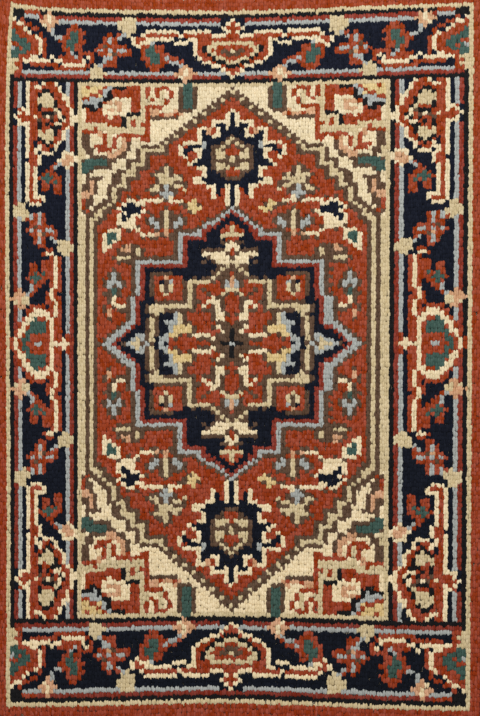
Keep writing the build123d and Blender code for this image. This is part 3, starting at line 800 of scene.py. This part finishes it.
def wool(name, head_shade, foot_shade, speckle, roughness=0.9):
    """A yarn's material, going from its colour at the head of the rug to a darker colour at the foot,
    the darkening being a painted falloff of the light.
    """
    yarn = Recipe(name)
    place = yarn.add("ShaderNodeTexCoord", None, out=3)
    split = yarn.add("ShaderNodeSeparateXYZ", None, place, out=1)
    down_rug = yarn.add(
        "ShaderNodeMapRange", None, split, **{"From Min": pile_high[1], "From Max": pile_low[1]}
    )
    # Painted shade: the yarn's own colour darkens from head to foot as a painted falloff of the light.
    dye_with_painted_falloff = yarn.mix(down_rug, head_shade, foot_shade)
    banded = yarn.add("ShaderNodeVectorMath", {"operation": "MULTIPLY"}, place, (2.0, 34.0, 1.0))
    lot = yarn.add("ShaderNodeTexNoise", None, banded, Scale=2.2, Detail=3.0, Roughness=0.6)
    tuft = yarn.add("ShaderNodeAttribute", {"attribute_name": "tuft"}, out=2)
    rise = yarn.add("ShaderNodeAttribute", {"attribute_name": "rise"}, out=2)
    fibres = yarn.add("ShaderNodeTexNoise", None, place, Scale=2200.0, Detail=3.0)
    value = 1 - speckle * 0.5 + speckle * tuft + (lot - 0.5) * 0.35 + (fibres - 0.5) * 0.7
    # Painted shade: each tuft's value falls to about two thirds at its root, as rise goes from 1 at the
    # tip to 0 at the root.
    value_with_painted_root_shade = value * (0.66 + 0.34 * rise ** 1.5)
    tinted = yarn.add(
        "ShaderNodeHueSaturation", None, Saturation=1.04 - 0.12 * tuft, Value=value_with_painted_root_shade, Color=dye_with_painted_falloff
    )
    ply = yarn.add(
        "ShaderNodeTexWave",
        {"wave_type": "BANDS", "bands_direction": "DIAGONAL"},
        place,
        Scale=1 / PLY_PITCH / 6,
        Distortion=3.0,
        Detail=2.0,
    )
    relief = yarn.add(
        "ShaderNodeBump", None, Strength=0.5, Distance=0.4 * MM, Height=0.5 * ply + 0.5 * fibres
    )
    yarn.surface.inputs["Sheen Weight"].default_value = 0.05
    yarn.surface.inputs["Sheen Roughness"].default_value = 0.45
    yarn.surface.inputs["Specular IOR Level"].default_value = 0.08
    yarn.wear(Base_Color=tinted, Roughness=roughness - 0.12 * fibres, Normal=relief)
    return yarn.material


# One material for each yarn of the chart, in the chart's order, each darker at the foot than at the head
# as painted falloff of the light.
yarns = (
    wool("wool_rust", colour(144, 59, 27), colour(133, 50, 24), 0.34),
    wool("wool_rose", colour(134, 51, 35), colour(112, 40, 27), 0.34),
    wool("wool_navy", colour(19, 23, 36), colour(10, 14, 23), 0.5),
    wool("wool_black", colour(25, 24, 25), colour(18, 17, 18), 0.5),
    wool("wool_blue", colour(156, 159, 154), colour(146, 148, 143), 0.16),
    wool("wool_ivory", colour(210, 194, 160), colour(210, 190, 152), 0.16),
    wool("wool_cream", colour(192, 174, 136), colour(184, 166, 128), 0.16),
    wool("wool_brown", colour(88, 66, 50), colour(80, 60, 45), 0.4),
    wool("wool_teal", colour(62, 86, 78), colour(52, 74, 66), 0.3),
    wool("wool_pink", colour(190, 148, 112), colour(182, 136, 102), 0.24),
    wool("wool_gold", colour(200, 178, 126), colour(190, 162, 108), 0.2),
)

# ---- Pile ----
# Each knot leaves two cut ends of yarn standing side by side. They lean towards the head, so a
# pale row shows a toothed edge over the dark row before it, and they were clipped level.
SIDES = 6
LEAN = 3.4 * MM
# Each ring's share of the height and of the girth, from the root up, and the point at the top.
RINGS = ((0.0, 0.62), (0.6, 1.0), (0.93, 0.88))
TIP = len(RINGS) * SIDES
CUT_TILT = 0.6 * MM
ROOT_DEPTH = 0.4 * MM
TUFT_FILL = 1.55
ROW_FILL = 1.7
STRAY_ACROSS = 0.07
STRAY_DOWN = 0.16
dice = np.random.default_rng(7)


def mark(piece, **values):
    """Numbers kept on a piece's points for its material to read."""
    for name, numbers in values.items():
        kept = piece.data.attributes.new(name, "FLOAT", "POINT")
        kept.data.foreach_set("value", np.asarray(numbers, np.float32).ravel())


def lay_out(piece, count, flat):
    """Room on the bake sheet for each of count like shapes, whose own layout is flat."""
    wide = math.ceil(math.sqrt(count * 1.2))
    tall = math.ceil(count / wide)
    order = np.arange(count)
    corner = np.stack((order % wide, order // wide), 1)
    spots = (corner[:, None, :] + 0.04 + 0.92 * np.array(flat)[None, :, :]) / np.array((wide, tall))
    sheet = piece.data.uv_layers.new(name="OFBake")
    sheet.data.foreach_set("uv", spots.ravel().astype(np.float32))


def tuft_faces():
    """One tuft's faces as a run of corners, how many each has, and the corners' flat layout."""
    loops = []
    sizes = []
    maps = []
    for level in range(len(RINGS) - 1):
        for side in range(SIDES):
            after = (side + 1) % SIDES
            lower = level * SIDES
            upper = lower + SIDES
            loops += [lower + side, lower + after, upper + after, upper + side]
            sizes.append(4)
            strip = (side / SIDES, (side + 1) / SIDES, 0.06 + 0.44 * level, 0.06 + 0.44 * (level + 1))
            left, right, low, high = strip
            maps += [(left, low), (right, low), (right, high), (left, high)]
    for side in range(SIDES):
        upper = (len(RINGS) - 1) * SIDES
        loops += [upper + side, upper + (side + 1) % SIDES, TIP]
        sizes.append(3)
        maps += [(side / SIDES, 0.94), ((side + 1) / SIDES, 0.94), ((side + 0.5) / SIDES, 1.0)]
    loops += list(range(SIDES))[::-1]
    sizes.append(SIDES)
    maps += [(0.1 + 0.8 * side / (SIDES - 1), 0.05 * (side % 2)) for side in range(SIDES)][::-1]
    return loops, sizes, maps


TUFT_LOOPS, TUFT_SIZES, TUFT_LAYOUT = tuft_faces()


def knots_of(name, columns, rows):
    """One piece of pile: two leaning tufts for every knot, in the yarn that the chart gives."""
    columns = np.repeat(columns, 2)
    rows = np.repeat(rows, 2)
    count = len(columns)
    half = np.tile((0.25, 0.75), count // 2)
    across = columns + half + dice.normal(0, STRAY_ACROSS, count)
    down = rows + 0.5 + dice.normal(0, STRAY_DOWN, count)
    x, y = on_loom(across, down)
    beside = on_loom(across + 0.25, down)[0]
    below = on_loom(across, down + 0.5)[1]
    wide = (beside - x) * TUFT_FILL * dice.uniform(0.9, 1.12, count)
    long = (y - below) * ROW_FILL * dice.uniform(0.88, 1.1, count)
    height = (pile_top - ground_top + ROOT_DEPTH) * dice.uniform(0.86, 0.98, count)
    lean_y = LEAN * dice.uniform(0.7, 1.25, count)
    lean_x = dice.normal(0, 0.5, count) * MM
    phase = dice.uniform(0, 2 * math.pi, count)
    base = ground_top - ROOT_DEPTH
    points = np.zeros((count, TIP + 1, 3))
    rise = np.zeros((count, TIP + 1))
    for level, (share, girth) in enumerate(RINGS):
        for side in range(SIDES):
            angle = phase + side * 2 * math.pi / SIDES
            point = level * SIDES + side
            points[:, point, 0] = x + lean_x * (share - 1) + wide * girth * np.cos(angle)
            points[:, point, 1] = y + lean_y * (share - 1) + long * girth * np.sin(angle)
            tilt = CUT_TILT * np.sin(angle) * (level == len(RINGS) - 1)
            points[:, point, 2] = base + height * share + tilt
            rise[:, point] = share
    points[:, TIP, 0] = x
    points[:, TIP, 1] = y + 0.2 * long
    points[:, TIP, 2] = base + height
    rise[:, TIP] = 1
    loops = np.arange(count)[:, None] * (TIP + 1) + np.array(TUFT_LOOPS)[None, :]
    piece = make_piece(name, points.reshape(-1, 3), loops.ravel(), np.tile(TUFT_SIZES, count))
    mesh = piece.data
    for material in yarns:
        mesh.materials.append(material)
    yarn_of_face = np.repeat(chart[rows, columns], len(TUFT_SIZES))
    mesh.polygons.foreach_set("material_index", yarn_of_face.astype(np.int32))
    # rise, each point's share of the tuft's height, sets the painted shade towards the roots in the
    # yarn's material.
    mark(piece, tuft=np.repeat(dice.uniform(0, 1, count), TIP + 1), rise=rise)
    lay_out(piece, count, TUFT_LAYOUT)
    return piece


# Each piece of pile: its name, its yarn and the plain solids that it stands for.
AREAS = (
    ("margin_knots", "wool_rust", ("pile_margin",)),
    ("outer_line_knots", "wool_cream", ("pile_outer_cream_line", "pile_outer_black_line")),
    ("border_line_knots", "wool_light_blue", ("pile_border_red_lines", "pile_border_blue_lines")),
    ("head_border_knots", "wool_navy", ("pile_border_head",)),
    ("foot_border_knots", "wool_navy", ("pile_border_foot",)),
    ("left_border_knots", "wool_navy", ("pile_border_left",)),
    ("right_border_knots", "wool_navy", ("pile_border_right",)),
    ("inner_line_knots", "wool_cream", ("pile_inner_black_line", "pile_inner_cream_line")),
    ("head_left_corner_knots", "wool_ivory", ("pile_corner_head_left",)),
    ("head_right_corner_knots", "wool_ivory", ("pile_corner_head_right",)),
    ("foot_left_corner_knots", "wool_ivory", ("pile_corner_foot_left",)),
    ("foot_right_corner_knots", "wool_ivory", ("pile_corner_foot_right",)),
    ("edging_knots", "wool_brown", ("pile_field_edging",)),
    ("field_knots", "wool_rust", ("pile_field",)),
    ("head_pendant_knots", "wool_navy", ("pile_pendant_rim_head", "pile_pendant_ground_head")),
    ("foot_pendant_knots", "wool_navy", ("pile_pendant_rim_foot", "pile_pendant_ground_foot")),
    (
        "medallion_line_knots",
        "wool_light_blue",
        ("pile_medallion_blue_line", "pile_medallion_red_line"),
    ),
    (
        "medallion_knots",
        "wool_rust",
        (
            "pile_medallion_ground",
            "pile_medallion_squares",
            "pile_medallion_panel_rim",
            "pile_medallion_panel",
        ),
    ),
)
(
    MARGIN, OUTER, LINES, HEAD, FOOT, LEFT, RIGHT, INNER, HEAD_LEFT, HEAD_RIGHT, FOOT_LEFT, FOOT_RIGHT,
    EDGING, FIELD, HEAD_PENDANT, FOOT_PENDANT, MEDALLION_LINES, MEDALLION,
) = range(len(AREAS))

areas = np.full((ROWS, COLUMNS), MARGIN)
plan = Weaver(areas)
plan.tie(OUTER, (3, 3, 105, 178))
plan.tie(LINES, (5, 5, 103, 176))
plan.tie(HEAD, (5, 7, 103, 18))
plan.tie(FOOT, (5, 162, 103, 174))
plan.tie(INNER, (5, 21, 103, 159))
plan.tie(LINES, (5, 22, 19, 158))
plan.tie(LINES, (89, 22, 103, 158))
plan.tie(LEFT, (7, 22, 17, 158))
plan.tie(RIGHT, (91, 22, 101, 158))
plan.tie(HEAD_LEFT, (23, 23, 53, 90))
plan.tie(HEAD_RIGHT, (54, 23, 85, 90))
plan.tie(FOOT_LEFT, (23, 91, 53, 157))
plan.tie(FOOT_RIGHT, (54, 91, 85, 157))
plan.shape(EDGING, (54, 23), (85, 57), (85, 123), (54, 157), (23, 123), (23, 57))
plan.shape(FIELD, (54, 26), (82, 60), (82, 120), (54, 154), (26, 120), (26, 60))
LINES_WIDE = 2
MEDALLION_EDGE = ((0, 34), (6, 29), (6, 27), (11, 27), (11, 21), (20, 21), (20, 11), (26, 0))
PENDANT_ROW = 42
PENDANT_EDGE = ((0, 11), (2, 11), (2, 9), (5, 9), (5, 7), (8, 6), (8, 4), (10, 3), (10, 0))


def four_ways(quarter, middle_column, middle_row):
    """A quarter outline, counted from its centre, turned over into the whole one."""
    quarters = []
    for across, along in ((1, -1), (1, 1), (-1, 1), (-1, -1)):
        run = [(middle_column + across * c, middle_row + along * r) for c, r in quarter]
        quarters += run if across * along < 0 else run[::-1]
    return quarters


plan.shape(MEDALLION_LINES, *four_ways(MEDALLION_EDGE, MIDDLE_COLUMN, MIDDLE_ROW))
inside = [(max(c - LINES_WIDE, 0), max(r - LINES_WIDE, 0)) for c, r in MEDALLION_EDGE]
plan.shape(MEDALLION, *four_ways(inside, MIDDLE_COLUMN, MIDDLE_ROW))
plan.shape(HEAD_PENDANT, *four_ways(PENDANT_EDGE, MIDDLE_COLUMN, PENDANT_ROW))
plan.shape(FOOT_PENDANT, *four_ways(PENDANT_EDGE, MIDDLE_COLUMN, MIRROR_ROW - PENDANT_ROW))

for number, (area_name, area_yarn, replaced) in enumerate(AREAS):
    area_rows, area_columns = np.nonzero(areas == number)
    tufts = knots_of(area_name, area_columns, area_rows)
    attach(tufts, "root")
    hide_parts(*replaced)

# ---- Knot backs ----
# On the underside each knot shows as one small flat-bellied loop round its pair of warps, in the
# yarn of its pile, so the whole design can be read from the back.
BACK_WIDTH = 0.47
BACK_BELLY = 0.34
BACK_POINTS = 8
BACK_FACES = 6
BACK_LOOPS = [0, 1, 2, 3, 7, 6, 5, 4]
for back_side in range(4):
    back_next = (back_side + 1) % 4
    BACK_LOOPS += [back_side, back_side + 4, back_next + 4, back_next]
BACK_CORNERS = ((-1, -1), (-1, 1), (1, 1), (1, -1))


def backs_of(name, first_row, last_row):
    """One closed loop for every knot from first_row up to last_row."""
    rows, columns = (grid.ravel() for grid in np.mgrid[first_row:last_row, 0:COLUMNS])
    count = len(rows)
    points = np.zeros((count, BACK_POINTS, 3))
    for corner, (across, along) in enumerate(BACK_CORNERS):
        for level, girth in enumerate((BACK_BELLY, BACK_WIDTH)):
            x, y = on_loom(columns + 0.5 + across * girth, rows + 0.5 - along * girth)
            points[:, corner + 4 * level, 0] = x
            points[:, corner + 4 * level, 1] = y
            points[:, corner + 4 * level, 2] = back_top * level
    loops = (np.arange(count)[:, None] * BACK_POINTS + np.array(BACK_LOOPS)[None, :]).ravel()
    piece = make_piece(name, points.reshape(-1, 3), loops, np.full(count * BACK_FACES, 4))
    for material in yarns:
        piece.data.materials.append(material)
    yarn_of_face = np.repeat(chart[rows, columns], BACK_FACES)
    piece.data.polygons.foreach_set("material_index", yarn_of_face.astype(np.int32))
    tuft = np.repeat(dice.uniform(0, 1, count), BACK_POINTS)
    # rise near 1 keeps the painted root shade almost off on the backs.
    mark(piece, tuft=tuft, rise=np.full(count * BACK_POINTS, 0.95))
    flat = []
    for face in range(BACK_FACES):
        left = face % 3 / 3
        foot = face // 3 / 2
        flat += [(left, foot), (left + 0.31, foot), (left + 0.31, foot + 0.46), (left, foot + 0.46)]
    lay_out(piece, count, flat)
    return piece


MIDDLE = ROWS // 2
backs = [backs_of("head_knot_backs", 0, MIDDLE), backs_of("foot_knot_backs", MIDDLE, ROWS)]
for back in backs:
    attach(back, "root")
    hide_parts("knot_backs")

# ---- Selvedges ----
# Down each long side a cotton cord is bound to the last warps by rust wool wound round and round
# it, each turn lying close against the one before.
TURN_PITCH = 2.2 * MM
TURN_POINTS = 12
CORE_POINTS = 181


def strands(name, centres, first, second, sides=6, fold=60):
    """A piece made of round strands, each closed at both ends.

    centres runs along every strand, and first and second are its two half widths at each point.
    """
    count, length = centres.shape[:2]
    angle = (np.arange(sides) * 2 * math.pi / sides)[:, None]
    rings = centres[:, :, None] + first[:, :, None] * np.cos(angle) + second[:, :, None] * np.sin(angle)
    index = np.arange(count * length * sides).reshape(count, length, sides)
    low = index[:, :-1]
    high = index[:, 1:]
    quads = np.stack((low, np.roll(low, -1, 2), np.roll(high, -1, 2), high), -1)
    caps = np.concatenate((index[:, 0, ::-1], index[:, -1]))
    loops = np.concatenate((quads.ravel(), caps.ravel()))
    sizes = np.concatenate((np.full(quads.size // 4, 4), np.full(len(caps), sides)))
    piece = make_piece(name, rings.reshape(-1, 3), loops, sizes)
    folds = math.ceil((length - 1) / fold)
    strips = count * folds
    strip_tall = fold + 2
    strip_wide = sides + 0.5
    abreast = math.ceil(math.sqrt(strips * strip_tall / strip_wide))
    sheet_size = np.array((abreast * strip_wide, math.ceil(strips / abreast) * strip_tall))
    strand, step, side = np.mgrid[0:count, 0 : length - 1, 0:sides]
    strip = strand * folds + step // fold
    u = strip % abreast * strip_wide + side + 0.1
    v = strip // abreast * strip_tall + step % fold
    corners = ((0, 0), (1, 0), (1, 1), (0, 1))
    quad_spots = np.stack([np.stack((u + du, v + dv), -1) for du, dv in corners], 3).reshape(-1, 2)
    cap_strip = np.concatenate((np.arange(count) * folds, np.arange(count) * folds + folds - 1))
    cap_row = np.repeat((0.5, 1.5), count)
    cap_u = cap_strip % abreast * strip_wide + 1
    cap_v = cap_strip // abreast * strip_tall + fold + cap_row
    turn = angle.ravel()
    cap_spots = (cap_u[:, None] + 0.4 * np.cos(turn), cap_v[:, None] + 0.4 * np.sin(turn))
    spots = np.concatenate((quad_spots, np.stack(cap_spots, -1).reshape(-1, 2))) / sheet_size
    sheet = piece.data.uv_layers.new(name="OFBake")
    sheet.data.foreach_set("uv", spots.ravel().astype(np.float32))
    return piece


# The overcast too is painted darker at the foot, as painted falloff of the light.
overcast_wool = wool("wool_overcast", colour(140, 60, 38), colour(122, 46, 32), 0.2)
cord_cotton = cotton("cotton_cord", colour(206, 192, 164), 0.9 * MM)
for selvedge_side, selvedge_column, outward in (("left", 0, -1), ("right", COLUMNS, 1)):
    core_low, core_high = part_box(f"selvedge_core_{selvedge_side}")
    wound_low, wound_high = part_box(f"selvedge_overcast_{selvedge_side}")
    core_radius = (core_high[2] - core_low[2]) / 2
    wound_radius = (wound_high[2] - wound_low[2]) / 2
    selvedge_z = (wound_high[2] + wound_low[2]) / 2

    core_rows = np.linspace(0, ROWS, CORE_POINTS)
    core_x, core_y = on_loom(np.full(core_rows.shape, selvedge_column), core_rows)
    core_z = np.full(core_x.shape, selvedge_z)
    core_line = np.stack((core_x + outward * wound_radius, core_y, core_z), -1)
    flat_way = np.tile((core_radius, 0.0, 0.0), (1, len(core_rows), 1))
    tall_way = np.tile((0.0, 0.0, core_radius), (1, len(core_rows), 1))
    core = strands(f"{selvedge_side}_selvedge_core", core_line[None], flat_way, tall_way, 8)
    core.data.materials.append(cord_cotton)
    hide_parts(f"selvedge_core_{selvedge_side}")

    turns = int((core_y[0] - core_y[-1]) / TURN_PITCH)
    wound_rows = np.linspace(0.25, ROWS - 0.25, turns * TURN_POINTS)
    wound_x, wound_y = on_loom(np.full(wound_rows.shape, selvedge_column), wound_rows)
    winding = np.arange(len(wound_rows)) * 2 * math.pi / TURN_POINTS
    around = np.stack((np.cos(winding), np.zeros(winding.shape), np.sin(winding)), -1)
    wool_half = (wound_radius - core_radius) / 2
    wound_z = np.full(wound_x.shape, selvedge_z)
    wound_line = np.stack((wound_x + outward * wound_radius, wound_y, wound_z), -1)
    wound_line = wound_line + around * (core_radius + wool_half)
    wander = 1 + 0.08 * np.sin(winding * 0.37) * np.sin(winding * 0.113)
    along = np.zeros(around.shape)
    along[:, 1] = 0.58 * TURN_PITCH * wander
    overcast = strands(
        f"{selvedge_side}_overcast", wound_line[None], (around * wool_half)[None], along[None]
    )
    overcast.data.materials.append(overcast_wool)
    points_wound = len(overcast.data.vertices)
    # rise near 1 keeps the painted root shade almost off on the overcast.
    mark(overcast, tuft=np.full(points_wound, 0.5), rise=np.full(points_wound, 0.9))
    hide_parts(f"selvedge_overcast_{selvedge_side}")
    for bound in (core, overcast):
        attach(bound, "root")

# ---- End webs ----
# Beyond the first and last rows of knots a narrow plain weave holds the pile, one weft over and
# under single warps and the next the other way.
WEFT_PITCH = 1.05 * MM
WARP_HALF = 0.5 * MM
WEFT_HALF = 0.42 * MM
CROSSING = 0.42 * MM
web_cotton = cotton("cotton_web", colour(214, 200, 172), 0.8 * MM)
for end_name, end_row, outward in (("head", 0, 1), ("foot", ROWS, -1)):
    web_low, web_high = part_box(f"end_web_{end_name}")
    web_length = web_high[1] - web_low[1]
    web_z = (web_high[2] + web_low[2]) / 2
    warp_columns = np.arange(COLUMNS * 2) / 2 + 0.25
    wefts = int(web_length / WEFT_PITCH)

    reach = (np.arange(wefts * 2 + 3) / 2 - 0.5) * WEFT_PITCH
    warp_x, warp_y = on_loom(warp_columns, np.full(warp_columns.shape, end_row))
    lift = CROSSING * np.cos(np.arange(len(reach)) * math.pi / 2)
    parity = 1 - 2 * (np.arange(len(warp_columns)) % 2)
    warp_line = np.zeros((len(warp_columns), len(reach), 3))
    warp_line[:, :, 0] = warp_x[:, None]
    warp_line[:, :, 1] = warp_y[:, None] + outward * reach
    warp_line[:, :, 2] = web_z + parity[:, None] * lift

    weft_columns = np.arange(COLUMNS * 4 + 1) / 4
    weft_x, weft_y = on_loom(weft_columns, np.full(weft_columns.shape, end_row))
    weft_line = np.zeros((wefts, len(weft_columns), 3))
    weft_reach = (np.arange(wefts) + 0.5) * WEFT_PITCH
    weft_line[:, :, 0] = weft_x
    weft_line[:, :, 1] = weft_y + outward * weft_reach[:, None]
    weft_wave = np.sin(np.arange(len(weft_columns)) * math.pi / 2)
    weft_turn = (1 - 2 * (np.arange(wefts) % 2))[:, None]
    weft_line[:, :, 2] = web_z - CROSSING * weft_wave * weft_turn
    threads = (
        ("warps", warp_line, (WARP_HALF * outward, 0, 0), (0, 0, -WARP_HALF)),
        ("wefts", weft_line, (0, 1.15 * WEFT_HALF, 0), (0, 0, WEFT_HALF)),
    )
    for thread_name, line, across, upright in threads:
        first_half = np.broadcast_to(np.array(across), line.shape)
        second_half = np.broadcast_to(np.array(upright), line.shape)
        web = strands(f"{end_name}_web_{thread_name}", line, first_half, second_half, 6, 28)
        web.data.materials.append(web_cotton)
        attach(web, "root")
        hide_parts(f"end_web_{end_name}")

# ---- Fringe ----
# The warps run out of each web six at a time into a knot, and below it they hang loose as a soft
# tassel that opens towards its tip.
TASSELS = 36
TASSEL_PITCH = 16.7 * MM
TASSEL_STRANDS = 12
STRAND_HALF = 0.5 * MM
STRAND_POINTS = 16
GATHERED = 2 * MM
COIL_HALF = 0.8 * MM
COIL_TURNS = 3
fringe_cotton = cotton("cotton_fringe", colour(220, 207, 180), 0.9 * MM)
for end_name, end_row, outward in (("head", 0, 1), ("foot", ROWS, -1)):
    knot_low, knot_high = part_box(f"fringe_knots_{end_name}")
    tassel_low, tassel_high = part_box(f"fringe_{end_name}")
    knot_length = knot_high[1] - knot_low[1]
    tassel_length = tassel_high[1] - tassel_low[1]
    knot_radius = (knot_high[2] - knot_low[2]) / 2
    tassel_radius = (tassel_high[2] - tassel_low[2]) / 2
    fringe_z = (tassel_low[2] + tassel_high[2]) / 2
    knot_z = (knot_low[2] + knot_high[2]) / 2
    edge_columns = np.linspace(0, COLUMNS, 200)
    edge_x, edge_y = on_loom(edge_columns, np.full(edge_columns.shape, end_row))
    nominal = np.linspace(edge_x[0] + TASSEL_PITCH / 2, edge_x[-1] - TASSEL_PITCH / 2, TASSELS)
    rooted = np.interp(nominal, edge_x, edge_y) + outward * web_length

    tassel, strand, step = np.mgrid[0:TASSELS, 0:TASSEL_STRANDS, 0:STRAND_POINTS]
    trim = dice.uniform(0.9, 1.0, (TASSELS, TASSEL_STRANDS, 1))
    sway = dice.normal(0, 1.0, (TASSELS, 1, 1)) * MM
    fall = step / (STRAND_POINTS - 1)
    span = GATHERED + (knot_length + tassel_length) * trim
    run = fall * span
    knotted = GATHERED + knot_length / 2
    before = np.clip(1 - run / knotted, 0, 1)
    past = np.clip((run - knotted) / (span - knotted), 0, 1)
    spot = strand * 2.4 + tassel
    bunch = (0.3 + 0.7 * past**0.7) * (tassel_radius - STRAND_HALF) * np.where(strand % 2, 1.0, 0.55)
    share = (strand + 0.5) / TASSEL_STRANDS - 0.5
    wavy = 0.35 * MM * np.sin(fall * 19 + spot) * past
    strand_line = np.zeros((*tassel.shape, 3))
    strand_line[..., 0] = nominal[tassel] + share * before * TASSEL_PITCH * 0.9
    strand_line[..., 0] += (1 - before) * (bunch * np.cos(spot) * 1.25 + wavy) + sway * past**2
    strand_line[..., 1] = rooted[tassel] + outward * (run - GATHERED)
    loose_z = knot_z + (fringe_z - knot_z) * past + (1 - before) * bunch * np.sin(spot)
    strand_line[..., 2] = np.maximum(web_z * before + loose_z * (1 - before), STRAND_HALF)
    strand_line = strand_line.reshape(-1, STRAND_POINTS, 3)
    first_half = np.broadcast_to(np.array((STRAND_HALF * outward, 0, 0)), strand_line.shape)
    second_half = np.broadcast_to(np.array((0, 0, -STRAND_HALF)), strand_line.shape)
    tassels = strands(f"{end_name}_fringe", strand_line, first_half, second_half, 6, STRAND_POINTS - 1)
    tassels.data.materials.append(fringe_cotton)
    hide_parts(f"fringe_{end_name}")

    tassel, step = np.mgrid[0:TASSELS, 0 : COIL_TURNS * TURN_POINTS + 1]
    winding = step * 2 * math.pi / TURN_POINTS + tassel
    around = np.stack((np.cos(winding), np.zeros(winding.shape), np.sin(winding)), -1)
    coil_line = around * (knot_radius - COIL_HALF)
    coil_line[..., 0] += nominal[tassel]
    inset = COIL_HALF + (knot_length - 2 * COIL_HALF) * step / step.max()
    coil_line[..., 1] = rooted[tassel] + outward * (knot_length - inset if outward < 0 else inset)
    coil_line[..., 2] += knot_z
    along = np.zeros(around.shape)
    along[..., 1] = COIL_HALF
    coils = strands(f"{end_name}_fringe_knots", coil_line, around * COIL_HALF, along, 6, 36)
    coils.data.materials.append(fringe_cotton)
    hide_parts(f"fringe_knots_{end_name}")
    for hanging in (tassels, coils):
        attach(hanging, "root")
